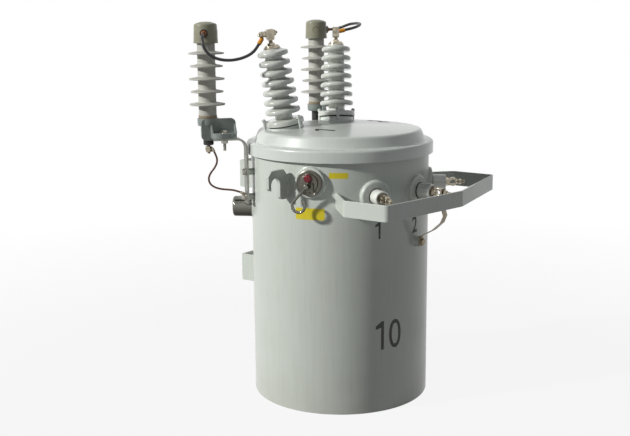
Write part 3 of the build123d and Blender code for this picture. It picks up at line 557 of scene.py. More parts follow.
@dataclass(frozen=True)
class Moulding(Finish):
    """Moulded plastic or rubber: a matt skin with the mould's fine grain and a cloudy tint.

    Attributes:
        grain: Width of the mould's grain; finer grain than 1 mm is drawn at 1 mm so that it shows.
        grain_height: Height of that grain.
        cloud: Width of the tint's patches.
    """

    grain: float = 1.0
    grain_height: float = 0.02
    cloud: float = 30.0

    def shade(self, tree: Tree, coords: Socket) -> tuple[bpy.types.Node, dict[str, Any]]:
        """Two tints mixed by a cloudy noise and by dust and painted shade in corners, and the grain as a bump.

        Args:
            tree: The material's node tree.
            coords: Output that holds object coordinates in metres.

        Returns:
            The node that gives the share of the soil_and_shade colour, and the shader's other inputs.
        """
        patches = {"Scale": scale_of(self.cloud), "Detail": 6.0, "Roughness": 0.65}
        cloud = add(tree, "TexNoise", {"Vector": coords, **patches})
        tint = add(tree, "MapRange", {"Value": cloud, "From Min": 0.3, "From Max": 0.8, "To Max": 0.55})
        # Painted shade mixed with dust: ambient occlusion darkens the colour in corners.
        dust_and_shade = crevice_dirt_and_shade(tree, 8, 0.7, 0.1, 0.5)
        grain = add(tree, "TexNoise", {"Vector": coords, "Scale": scale_of(self.grain), "Detail": 2.0})
        rough = {"Value": grain, "To Min": self.rough - 0.06, "To Max": self.rough + 0.06}
        return add(tree, "Math", {0: tint, 1: dust_and_shade}, operation="MAXIMUM"), {
            "Roughness": add(tree, "MapRange", rough),
            "Normal": add(tree, "Bump", {"Height": grain, "Distance": self.grain_height * MM, "Strength": 0.8}),
            "IOR": 1.48,
        }


class Grain(Enum):
    """How a metal's surface was made."""

    SPANGLE = "dipped in zinc, which freezes in flat crystals"
    CAST = "cast or forged, then tinned, with a fine uneven skin"
    POLISHED = "polished, with fine scratches along one slant"


@dataclass(frozen=True)
class Metal(Finish):
    """Bare or plated metal: its highlight follows how it was made, and tarnish and painted shade gather in
    corners.

    Attributes:
        grain: How its surface was made.
        size: Width of a crystal, of a pit or of a scratch; pits and scratches are drawn coarser than
            they are, so that they show.
        spread: How far its roughness varies.
    """

    grain: Grain = Grain.CAST
    size: float = 1.5
    spread: float = 0.12

    def shade(self, tree: Tree, coords: Socket) -> tuple[bpy.types.Node, dict[str, Any]]:
        """Tarnish by patches, tarnish and painted shade in corners, painted shade on a polished metal's
        underside; crystals, pits or scratches in roughness and bump.

        Args:
            tree: The material's node tree.
            coords: Output that holds object coordinates in metres.

        Returns:
            The node that gives the share of the soil_and_shade colour, and the shader's other inputs.
        """
        clouds = {"Scale": scale_of(14), "Detail": 5.0, "Roughness": 0.6}
        patches = add(tree, "TexNoise", {"Vector": coords, **clouds})
        tint = add(tree, "MapRange", {"Value": patches, "From Min": 0.35, "From Max": 0.75, "To Max": 0.6})
        # Painted shade mixed with tarnish: ambient occlusion darkens the colour in corners.
        tarnish_and_shade = add(tree, "Math", {0: tint, 1: crevice_dirt_and_shade(tree, 6, 0.8, 0.15, 0.8)}, operation="MAXIMUM")
        size = scale_of(self.size)
        if self.grain is Grain.SPANGLE:
            cells = add(tree, "TexVoronoi", {"Vector": coords, "Scale": size}, feature="F1")
            pattern, lift = add(tree, "RGBToBW", {0: cells.outputs["Color"]}), 0.004
        elif self.grain is Grain.POLISHED:
            stretch = {"Vector": coords, "Scale": (1.0, 1.0, 0.12), "Rotation": (0.5, 0.3, 0.0)}
            lines = add(tree, "Mapping", stretch)
            pattern, lift = add(tree, "TexNoise", {"Vector": lines, "Scale": size, "Detail": 4.0}), 0.003
            # Painted shade: a polished metal's colour darkens towards its underside, standing in for the dark
            # ground it would mirror.
            facing = add(tree, "SeparateXYZ", {0: add(tree, "NewGeometry").outputs["Normal"]}).outputs["Z"]
            under = add(tree, "MapRange", {"Value": facing, "From Min": 0.5, "From Max": -0.8})
            tarnish_and_shade = add(tree, "Math", {0: tarnish_and_shade, 1: under}, operation="MAXIMUM")
        else:
            pattern, lift = add(tree, "TexNoise", {"Vector": coords, "Scale": size, "Detail": 4.0}), 0.05
        varied = add(tree, "MapRange", {"Value": pattern, "To Min": -0.08, "To Max": 0.16})
        rough = {"Value": pattern, "To Min": self.rough - self.spread, "To Max": self.rough + self.spread}
        return add(tree, "Math", {0: tarnish_and_shade, 1: varied}, operation="ADD", use_clamp=True), {
            "Roughness": add(tree, "MapRange", rough),
            "Normal": add(tree, "Bump", {"Height": pattern, "Distance": lift * MM, "Strength": 1.0}),
            "Metallic": 1.0,
        }


@dataclass(frozen=True)
class Lens(Finish):
    """Moulded clear acrylic: a glassy skin over a deep colour, broken up by small brighter beads."""

    def shade(self, tree: Tree, coords: Socket) -> tuple[bpy.types.Node, dict[str, Any]]:
        """Deep and bright red mixed by 1.8 mm beads moulded inside the lens.

        Args:
            tree: The material's node tree.
            coords: Output that holds object coordinates in metres.

        Returns:
            The node that gives the share of the soil colour, and the shader's other inputs.
        """
        beads = add(tree, "TexVoronoi", {"Vector": coords, "Scale": scale_of(1.8)}, feature="F1")
        bright = add(tree, "MapRange", {"Value": beads, "From Max": 0.7, "To Max": 0.8})
        return bright, {"Roughness": self.rough, "IOR": 1.42}


# Stoved enamel on rolled steel: a smooth pale grey with a soft shine, dusty near the ground.
TANK_PAINT = Enamel("stoved enamel", "tank_paint", "#cdd2cb", "#aeaca0", 0.36, splash=120.0)
# The same enamel under more clear film, for sharper highlights on the pressed cover's bends, its colour painted
# a little lighter as painted light on the cover's top.
COVER_PAINT = Enamel("glossy stoved enamel", "tank_paint", "#d3d8d3", "#b4b4aa", 0.32, gloss=0.55)
# Paint through a stencil: flat black with a few chips.
MARKING = Enamel("stencil paint", "tank_paint", "#090908", "#1b1a18", 0.6, peel=2.0, worn=0.03, gloss=0.0)
# Printed film, faded by the sun: an even warm yellow that lies flat.
STICKER = Enamel("vinyl film", "tank_paint", "#dcca1c", "#bba81c", 0.38, peel=6.0, peel_height=0.01)
# Fired porcelain: cool grey-white with small sharp highlights on every shed.
PORCELAIN = Glaze("glazed porcelain", "porcelain", "#d3d6cf", "#b4b8b0", 0.16)
# White porcelain: a warmer white with softer highlights.
WHITE_PORCELAIN = Glaze("white glazed porcelain", "white_porcelain", "#efefe9", "#c9c8be", 0.2)
# Moulded silicone: a matt pale grey that dust clouds.
SILICONE = Moulding("silicone rubber", "polymer", "#c4c3bc", "#a5a39a", 0.5, grain=1.2, cloud=45.0)
# Moulded polypropylene: olive grey with a dull sheen.
CAP_PLASTIC = Moulding("weatherproof polypropylene", "cap_plastic", "#979580", "#7a7866", 0.4)
# Cap plastic painted darker: painted shade of the groove round the knock-out, drawn as a dark line.
KNOCK_OUT_SHADE = Moulding("polypropylene with painted groove shade", "cap_plastic", "#5f5d4b", "#4d4b3c", 0.6)
# Glass polyester: blue-grey, mottled by its fibres.
POLYESTER = Moulding("glass polyester", "bracket_plastic", "#8f9692", "#6f7572", 0.4, grain=1.6, cloud=8.0)
# Cast epoxy: dull tan.
BROWN_RESIN = Moulding("tan epoxy", "polymer", "#988a74", "#7d6c54", 0.45)
# Moulded nylon: near black with a dull sheen.
BLACK_NYLON = Moulding("black nylon", "black_plastic", "#1d1c1b", "#33312d", 0.45)
# Nitrile: near black and matt, the thin dark line at every seat.
NITRILE = Moulding("nitrile rubber", "seal", "#191817", "#34322e", 0.6)
# Rubber: dull orange-brown.
GROMMET = Moulding("tan rubber", "sleeve", "#b4651d", "#7d4515", 0.45)
# Dipped vinyl: bright orange with a soft shine.
SLEEVE = Moulding("orange vinyl", "sleeve", "#e79a1b", "#c57912", 0.35, grain=2.0)
# Neoprene: black with a long soft highlight along the cord.
JUMPER_COVER = Moulding(
    "black neoprene", "jumper_cover", "#181818", "#2b2a29", 0.36, grain=2.0, grain_height=0.01
)
# Lacquer over copper: red-brown with fine lighter mottling.
LEAD_COVER = Moulding("brown lacquered copper", "lead_cover", "#4a2a1f", "#7c4a35", 0.3, grain=1.6, cloud=6.0)
# Hot zinc on steel plate: dull grey in flat crystals of 7 mm.
ZINC = Metal("hot dipped zinc", "galvanised", "#989a93", "#6c6c65", 0.48, grain=Grain.SPANGLE, size=7.0)
# Electroplated bolts: brighter and smoother than the dipped plate.
PLATED = Metal("zinc plated steel", "galvanised", "#aeaca3", "#6b675c", 0.3, size=1.2)
# Tinned castings: pale warm metal, brown in its corners.
TINNED = Metal("tinned bronze", "tinned", "#b5ac9a", "#524a3d", 0.24)
# Tinned metal painted darker and browner: painted shade for the link on the tank's shaded side.
SHADE_TINNED = Metal("shade-painted tinned copper", "tinned", "#8d8472", "#4b4336", 0.4)
# Polished stainless steel: mirrors the pale room, with painted shade darkening its underside.
STAINLESS = Metal("stainless steel", "stainless", "#8b8c84", "#2a251d", 0.17, grain=Grain.POLISHED, size=0.8)
# Stamped stainless steel gone dull: blurred dark and light patches.
WORN_STAINLESS = Metal(
    "worn stainless steel", "stainless", "#6f6d64", "#2a2620", 0.32, grain=Grain.CAST, size=2.5, spread=0.16
)
# Clear red acrylic: deep red with one small highlight.
RED_LENS = Lens("red acrylic", "lens", "#5e0414", "#820c1f", 0.14)


# ---------------------------------------------------------------- pieces
MERGE = 1e-7  # metres within which two points of a made surface are one
CAD_MERGE = 2e-6  # the same for the flat faces of a CAD node
FLAT = math.radians(0.2)  # faces that turn less than this are one flat face
SHARP = 32.0  # edges that turn more than so many degrees stay sharp


def mesh_of(surface: Surface, name: str, scale: float = 1.0) -> bpy.types.Mesh:
    """Mesh of a surface.

    Args:
        surface: The surface.
        name: The mesh's name.
        scale: What its millimetres are multiplied by.

    Returns:
        The mesh.
    """
    mesh = bpy.data.meshes.new(name)
    rows = [row for part in surface.faces for row in part.tolist()]
    mesh.from_pydata((surface.points * scale).tolist(), [], rows)
    return mesh


def points_of(mesh: bpy.types.Mesh) -> Array:
    """A mesh's points.

    Args:
        mesh: The mesh.

    Returns:
        The points, n by 3.
    """
    points = np.empty(len(mesh.vertices) * 3)
    mesh.vertices.foreach_get("co", points)
    return points.reshape(-1, 3)


def shown(name: str, data: bpy.types.ID) -> bpy.types.Object:
    """New object in the scene, at the origin.

    Args:
        name: Its name.
        data: Its mesh, curve, lamp or camera.

    Returns:
        The object.
    """
    made = bpy.data.objects.new(name, data)
    bpy.context.scene.collection.objects.link(made)
    return made


@dataclass
class Assembly:
    """A sub-assembly: its sizes in millimetres, and methods that build its surfaces and dress them."""

    body: ClassVar[str] = "tank"

    def build(self) -> None:
        """Builds and dresses every piece of the sub-assembly."""
        raise NotImplementedError

    def piece(
        self,
        name: str,
        surface: Surface,
        finish: Finish,
        stands_for: Sequence[str] = (),
        sharp: float = SHARP,
        bevel: float = 0.0,
    ) -> bpy.types.Object:
        """Makes a surface a piece of the model.

        Args:
            name: The piece's name.
            surface: Closed surface in millimetres.
            finish: Its finish.
            stands_for: CAD nodes that it is shown instead of.
            sharp: Edges that turn more than so many degrees stay sharp.
            bevel: Width of the bevel on those edges, or 0.

        Returns:
            The object, at the origin.
        """
        mesh = mesh_of(surface, name, MM)
        work = bmesh.new()
        work.from_mesh(mesh)
        bmesh.ops.remove_doubles(work, verts=work.verts, dist=MERGE)
        bmesh.ops.dissolve_degenerate(work, edges=work.edges, dist=MERGE)
        bmesh.ops.recalc_face_normals(work, faces=work.faces)
        work.to_mesh(mesh)
        work.free()
        return self.placed(mesh, name, finish, stands_for, sharp, bevel)

    def refined(self, node: str, finish: Finish, bevel: float = 0.5, sharp: float = SHARP) -> bpy.types.Object:
        """Dresses a merged copy of a CAD node: flat faces made whole, edges rounded off, curves smooth.

        Args:
            node: The CAD node.
            finish: Its finish.
            bevel: Width of the rounded edges.
            sharp: Edges that turn more than so many degrees count as edges.

        Returns:
            The object that is shown instead of the node.
        """
        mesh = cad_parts[node].data.copy()
        mesh.name = node + "_dressed"
        work = bmesh.new()
        work.from_mesh(mesh)
        bmesh.ops.remove_doubles(work, verts=work.verts, dist=CAD_MERGE)
        bmesh.ops.dissolve_limit(work, angle_limit=FLAT, verts=work.verts, edges=work.edges)
        work.to_mesh(mesh)
        work.free()
        return self.placed(mesh, mesh.name, finish, (node,), sharp, bevel)

    def placed(
        self,
        mesh: bpy.types.Mesh,
        name: str,
        finish: Finish,
        stands_for: Sequence[str],
        sharp: float,
        bevel: float,
    ) -> bpy.types.Object:
        """Shades a mesh, bevels it, gives it its finish and puts it on its body.

        Args:
            mesh: The mesh in metres.
            name: The piece's name.
            finish: Its finish.
            stands_for: CAD nodes that it is shown instead of.
            sharp: Edges that turn more than so many degrees stay sharp.
            bevel: Width of the bevel on those edges, or 0.

        Returns:
            The object, at the origin.
        """
        mesh.materials.clear()
        mesh.materials.append(finish.material())
        mesh.shade_smooth()
        mesh.set_sharp_from_angle(angle=math.radians(sharp))
        made = shown(name, mesh)
        if bevel:
            edge = made.modifiers.new("edges", "BEVEL")
            edge.width, edge.segments = bevel * MM, 2
            edge.limit_method, edge.angle_limit = "ANGLE", math.radians(sharp)
            edge.harden_normals = True
        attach(made, self.body)
        if stands_for:
            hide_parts(*stands_for)
        LOG.info("%s: %d faces, %s", name, len(mesh.polygons), finish.name)
        return made


def cut_upright(surface: Surface, step: float) -> Surface:
    """Cuts a surface into upright strips, so that it can bend round the tank.

    Args:
        surface: The surface.
        step: Width of a strip.

    Returns:
        The surface in triangles, with the cuts in it.
    """
    mesh = mesh_of(surface, "strips")
    work = bmesh.new()
    work.from_mesh(mesh)
    for x in np.arange(surface.points[:, 0].min() + step / 2, surface.points[:, 0].max(), step):
        everything = [*work.verts, *work.edges, *work.faces]
        bmesh.ops.bisect_plane(work, geom=everything, plane_co=(x, 0, 0), plane_no=(1, 0, 0))
    bmesh.ops.triangulate(work, faces=work.faces)
    work.to_mesh(mesh)
    work.free()
    faces = np.empty(len(mesh.polygons) * 3, int)
    mesh.polygons.foreach_get("vertices", faces)
    cut = Surface(points_of(mesh), [faces.reshape(-1, 3)])
    bpy.data.meshes.remove(mesh)
    return cut


def numeral(
    text: str, height: float, narrow: float = 0.8, weight: float = 0.018, thick: float = 0.15
) -> Surface:
    """Plain numeral as a thin closed slab about its own middle.

    Args:
        text: Digits.
        height: Height of the digits.
        narrow: Width against the font's own.
        weight: How far its strokes grow on each side, against the font's size.
        thick: Thickness.

    Returns:
        The slab, with x along the line of writing and y up.
    """
    curve = bpy.data.curves.new("numeral", "FONT")
    curve.body, curve.extrude, curve.offset = text, 0.01, weight
    holder = shown("numeral", curve)
    mesh = bpy.data.meshes.new_from_object(holder.evaluated_get(bpy.context.evaluated_depsgraph_get()))
    points = points_of(mesh)
    faces = [np.array([face.vertices[:]]) for face in mesh.polygons]
    bpy.data.objects.remove(holder)
    bpy.data.curves.remove(curve)
    bpy.data.meshes.remove(mesh)
    low, high = points.min(0), points.max(0)
    grow = height / (high[1] - low[1])
    points = (points - (low + high) / 2) * [grow * narrow, grow, thick / (high[2] - low[2])]
    return Surface(points + [0, 0, thick / 2], faces)


def one(height: float, stroke: float = 0.13, thick: float = 0.15) -> Surface:
    """Plain numeral 1 as a thin closed slab about its own middle: a stem with a slanted arm.

    Args:
        height: Height of the digit.
        stroke: Width of its stem, against the height.
        thick: Thickness.

    Returns:
        The slab, with x along the line of writing and y up.
    """
    half = stroke / 2
    arm = -0.2 - half
    stem = [(half, -0.5), (half, 0.5), (-0.04, 0.5)]
    flag = [(arm, 0.34), (arm, 0.34 - stroke), (-half, 0.28), (-half, -0.5)]
    return bar(np.array([*stem, *flag]) * height, 0, thick)


def aimed(start: Sequence[float], way: Sequence[float]) -> Array:
    """Place whose Z points a given way.

    Args:
        start: Its origin.
        way: Direction of its Z.

    Returns:
        The place as a 4 by 4 matrix.
    """
    place = np.eye(4)
    place[:3, :3] = np.array(Vector(way).to_track_quat("Z", "Y").to_matrix())
    place[:3, 3] = start
    return place


def round_bead(wall: float, radius: float, girth: Array) -> Surface:
    """Bead where a round boss meets a round wall.

    The boss's circle (r cos a, r sin a) is laid on the wall, whose depth behind its nearest line is the
    root of the wall's radius squared less the sideways distance squared.

    Args:
        wall: The wall's radius.
        radius: The boss's radius.
        girth: The bead's radius at each step round it.

    Returns:
        The bead, about the wall's nearest point with X outwards.
    """
    angle = np.linspace(0, 2 * math.pi, len(girth), endpoint=False)
    aside, up = radius * np.cos(angle), radius * np.sin(angle)
    depth = np.sqrt(wall**2 - aside**2)
    path = np.stack([depth - wall, aside, up], -1)
    outward = np.stack([depth, aside, 0 * aside], -1) / wall
    return tube(path, outward, girth, 8, closed=True)


def boss(radius: float, low: float, high: float, edge: float, steps: int, segments: int = 96) -> Surface:
    """Round boss whose low end stands in a wall, with a rounded outer edge."""
    corners = [(0, low), (radius, low), (radius, high), (0, high)]
    return lathe(rounded(corners, {2: edge}, steps), segments)


def washer(radius: float, low: float, high: float) -> Surface:
    """Flat washer with softened edges; its hole is closed, as its bolt stands in it."""
    return disc(radius, low, high, min(0.5, (high - low) / 3), 48)


# ---------------------------------------------------------------- tank
@dataclass
class TankShell(Assembly):
    """Rolled steel tank with its bottom, weld beads, painted numerals and bare yellow labels.

    Attributes:
        bead: Radius of the beads beside the plates.
        seam: Bearing of the upright seam of the rolled wall.
        lug_bead: Bearing of a lifting lug, the ends of its beads and half its thickness.
        guard_bead: The same for an end of the guard bar.
        hanger_beads: Lower ends of the beads of both pole hangers.
        hanger_bead: Length of those beads.
        hanger_half: Half a pole hanger's width.
        marks: Bearing and height of each numeral: 1, 2 and 3 under the bushings, and the rating.
        mark_size: Height of the first three.
        rating_size: Height of the rating.
        stickers: Bearing, height, width and height of each label.
    """

    radius: float = TANK_R
    wall: float = 3.0
    height: float = 644.0
    bottom_z: float = 14.0
    bottom_thick: float = 4.0
    bead: float = 2.4
    seam: float = 103.9
    lug_bead: tuple[float, ...] = (90.0, 534.0, 588.0, 4.75)
    guard_bead: tuple[float, ...] = (57.4, 514.0, 550.0, 2.6)
    hanger_beads: tuple[float, float] = (250.0, 508.0)
    hanger_bead: float = 72.0
    hanger_half: float = 45.0
    marks: tuple[tuple[float, float], ...] = ((-31.0, 457.0), (-1.5, 457.0), (34.0, 457.0), (-24.0, 195.0))
    mark_size: float = 41.0
    rating_size: float = 72.0
    stickers: tuple[tuple[float, ...], ...] = ((-56.5, 592.0, 45.0, 14.0), (-74.2, 499.0, 73.0, 28.0))

    def build(self) -> None:
        """Builds the wall, the bottom, the beads, the numerals and the labels."""
        inner = self.radius - self.wall
        corners = [(self.radius, 0), (self.radius, self.height), (inner, self.height), (inner, 0)]
        shell = lathe(rounded(corners, {0: 1.2, 3: 1.2}, 3, True), 240, True)
        self.piece("tank_shell", shell, TANK_PAINT, ["tank_wall"])
        low, high = self.bottom_z, self.bottom_z + self.bottom_thick
        plate = lathe(np.array([(0, low), (inner - 0.2, low), (inner - 0.2, high), (0, high)]), 160)
        fillet = self.bead_flat(inner, low, 3.0)
        self.piece("tank_floor", plate + fillet, TANK_PAINT, ["tank_bottom"])
        self.piece("tank_beads", joined(self.beads()), TANK_PAINT)
        self.piece("tank_numerals", joined(self.numerals()), MARKING)
        self.piece("tank_labels", joined(self.labels()), STICKER)

    def bead_flat(self, radius: float, z: float, size: float) -> Surface:
        """Weld bead round a level circle, its girth rising and falling by a tenth.

        Args:
            radius: The circle's radius.
            z: Its height.
            size: The bead's radius.

        Returns:
            The bead.
        """
        angle = np.linspace(0, 2 * math.pi, 400, endpoint=False)
        path = np.stack([radius * np.cos(angle), radius * np.sin(angle), z + 0 * angle], -1)
        girth = size * (1 + 0.1 * np.sin(180 * angle))
        return tube(path, np.array([0.0, 0.0, 1.0]), girth, 6, closed=True)

    def bead_round(self, bearing: float, z: float, radius: float, size: float) -> Surface:
        """Weld bead round a boss, its girth rising and falling every 4 mm.

        Args:
            bearing: The boss's bearing.
            z: Its height.
            radius: Its radius.
            size: The bead's radius.

        Returns:
            The bead.
        """
        angle = np.linspace(0, 2 * math.pi, 96, endpoint=False)
        ripples = round(2 * math.pi * radius / 4)
        girth = size * (1 + 0.12 * np.sin(ripples * angle))
        return round_bead(self.radius, radius, girth).placed(polar(bearing, self.radius, z))

    def bead_upright(self, bearing: float, low: float, high: float, aside: float = 0.0) -> Surface:
        """Weld bead up the wall, thinning towards its ends.

        Args:
            bearing: Bearing of the plate that it holds.
            low: Height of its lower end.
            high: Height of its upper end.
            aside: How far to the side of the bearing it stands.

        Returns:
            The bead.
        """
        z = np.linspace(low, high, int((high - low) / 1.2))
        depth = math.sqrt(self.radius**2 - aside**2)
        path = np.stack([depth + 0 * z, aside + 0 * z, z], -1)
        ends = np.clip(np.minimum(z - low, high - z) / self.bead, 0.15, 1) ** 0.5
        girth = self.bead * ends * (1 + 0.12 * np.sin(z * 1.6))
        return tube(path, np.array([1.0, 0.0, 0.0]), girth, 8).placed(polar(bearing))

    def beads(self) -> list[Surface]:
        """Every bead on the wall: at bosses, lugs, guard ends, hangers, and the wall's own seam.

        Returns:
            The beads.
        """
        low_voltage = [LowVoltageBushing(number) for number in (1, 2, 3)]
        boss_r = LowVoltageSeats.boss_r
        beads = [self.bead_round(bushing.bearing, bushing.z, boss_r, 1.5) for bushing in low_voltage]
        beads += [self.bead_round(BREAKER_BEARING, BREAKER_Z, Breaker.boss_r, 1.8)]
        beads += [self.bead_round(0, NeutralLink.z, NeutralLink.boss_r, 1.8)]
        beads += [self.bead_round(TapChanger.bearing, TapChanger.z, TapChanger.radius, 1.6)]
        for _, side in SIDES:
            for z in ArresterStraps.bolt_heights:
                beads += [self.bead_round(side * STRAP_BEARING, z, ArresterStraps.boss_r, 1.5)]
            for bearing, low, high, half in (self.lug_bead, self.guard_bead):
                beads += [self.bead_upright(side * bearing, low, high, aside) for aside in (-half, half)]
            for low in self.hanger_beads:
                beads += [self.bead_upright(180, low, low + self.hanger_bead, side * self.hanger_half)]
        return beads + [self.bead_upright(self.seam, 3, self.height - 3)]

    def on_wall(self, flat: Surface, bearing: float, z: float, lift: float = 0.02) -> Surface:
        """Flat slab bent round the wall: x over the radius is added to the bearing, y to the height.

        Args:
            flat: The slab.
            bearing: Bearing of its middle.
            z: Height of its middle.
            lift: Gap between it and the wall.

        Returns:
            The bent slab.
        """
        slab = cut_upright(flat, 4.0)
        angle = math.radians(bearing) + slab.points[:, 0] / self.radius
        out = self.radius + lift + slab.points[:, 2]
        points = np.stack([out * np.sin(angle), -out * np.cos(angle), z + slab.points[:, 1]], -1)
        return Surface(points, slab.faces)

    def numerals(self) -> list[Surface]:
        """Plain numerals under the three low-voltage bushings, and a larger one near the base.

        Returns:
            The numerals as slabs on the wall.
        """
        size, large = self.mark_size, self.rating_size
        rating = one(large, 0.11).placed(shift(-18)) + numeral("0", large, 0.8, 0.0).placed(shift(19))
        slabs = (one(size), numeral("2", size), numeral("3", size), rating)
        return [self.on_wall(slab, *mark) for slab, mark in zip(slabs, self.marks)]

    def labels(self) -> list[Surface]:
        """Bare yellow labels below the breaker, with round corners.

        Returns:
            The labels as slabs on the wall.
        """
        made = []
        for bearing, z, width, height in self.stickers:
            half, top = width / 2, height / 2
            corners = [(-half, -top), (half, -top), (half, top), (-half, top)]
            slab = bar(rounded(corners, dict.fromkeys(range(4), 2.0), 4, True), 0, 0.12)
            made.append(self.on_wall(slab, bearing, z))
        return made


@dataclass
class TankCover(Assembly):
    """Pressed cover with a skirt, a stepped dome and raised pads, on its gasket."""

    radius: float = 236.0
    skirt_z: float = 622.0
    flange_z: float = 652.0
    step_z: float = 679.0
    crown_z: float = 693.0
    flange_width: float = 19.0
    step_inset: float = 12.0
    sheet: float = 3.0
    mark_size: float = 54.0
    mark_place: tuple[float, float] = (118.0, -38.0)
    mark_turn: float = 8.0

    def crown(self, radius: Array) -> Array:
        """Height of the dome: a sphere's cap through the step's edge and the crown.

        The sphere's radius is the edge squared plus the rise squared, over twice the rise.

        Args:
            radius: Distances from the axis.

        Returns:
            The height at each.
        """
        edge = self.radius - self.flange_width - self.step_inset
        rise = self.crown_z - self.step_z
        sphere = (edge**2 + rise**2) / (2 * rise)
        return self.crown_z - sphere + np.sqrt(sphere**2 - np.asarray(radius, float) ** 2)

    def side(self, inset: float) -> Array:
        """Half section of one side of the sheet, from the skirt to the axis.

        Args:
            inset: How far inside the outer side it lies.

        Returns:
            Its points.
        """
        foot = self.radius - self.flange_width - inset
        step = foot - self.step_inset
        near = step - 22.0
        corners = [
            (self.radius - inset, self.skirt_z),
            (self.radius - inset, self.flange_z - inset),
            (foot, self.flange_z - inset),
            (step, self.step_z - inset),
            (near, float(self.crown(near)) - inset),
        ]
        bends = rounded(corners, {1: 7 - inset, 2: 5 + inset, 3: 11 - inset}, 8)
        inner = np.linspace(near, 0, 24)[1:]
        return np.concatenate([bends, np.stack([inner, self.crown(inner) - inset], -1)])

    def build(self) -> None:
        """Builds the cover, its pads, its gasket and the numerals beside the bushings."""
        outer, inside = self.side(0.0), self.side(self.sheet)
        shell = lathe(np.concatenate([inside[::-1], outer]), 240)
        self.piece("cover_shell", shell, COVER_PAINT, ["cover"])
        pad = rounded([(0, -20), (54, -20), (46, -9), (43.6, -5), (43, 0), (0, 0)], {2: 8, 3: 6, 4: 1.6}, 6)
        pads = [lathe(pad, 120).placed(HighVoltageBushing(side).place) for _, side in SIDES]
        self.piece("cover_pads", joined(pads), COVER_PAINT)
        gasket = ring(TANK_R - 10, TANK_R + 2, TankShell.height, TankShell.height + 5, 0.8, 180)
        self.piece("cover_seal", gasket, NITRILE, ["cover_gasket"])
        self.piece("cover_numerals", joined(self.numerals()), MARKING)

    def numerals(self) -> list[Surface]:
        """Plain numerals laid on the dome: each point takes the dome's height under it.

        Returns:
            The numerals as slabs.
        """
        size, marks = self.mark_size, []
        x, y = self.mark_place
        for slab, (_, side) in zip((one(size, 0.2), numeral("2", size, 1.0, 0.05)), SIDES):
            slab = cut_upright(slab, 6.0)
            flat = slab.placed(shift(side * x, y) @ turn(Axis.Z, -self.mark_turn * side)).points
            height = self.crown(np.hypot(flat[:, 0], flat[:, 1])) + flat[:, 2] + 0.1
            marks.append(Surface(np.column_stack([flat[:, :2], height]), slab.faces))
        return marks


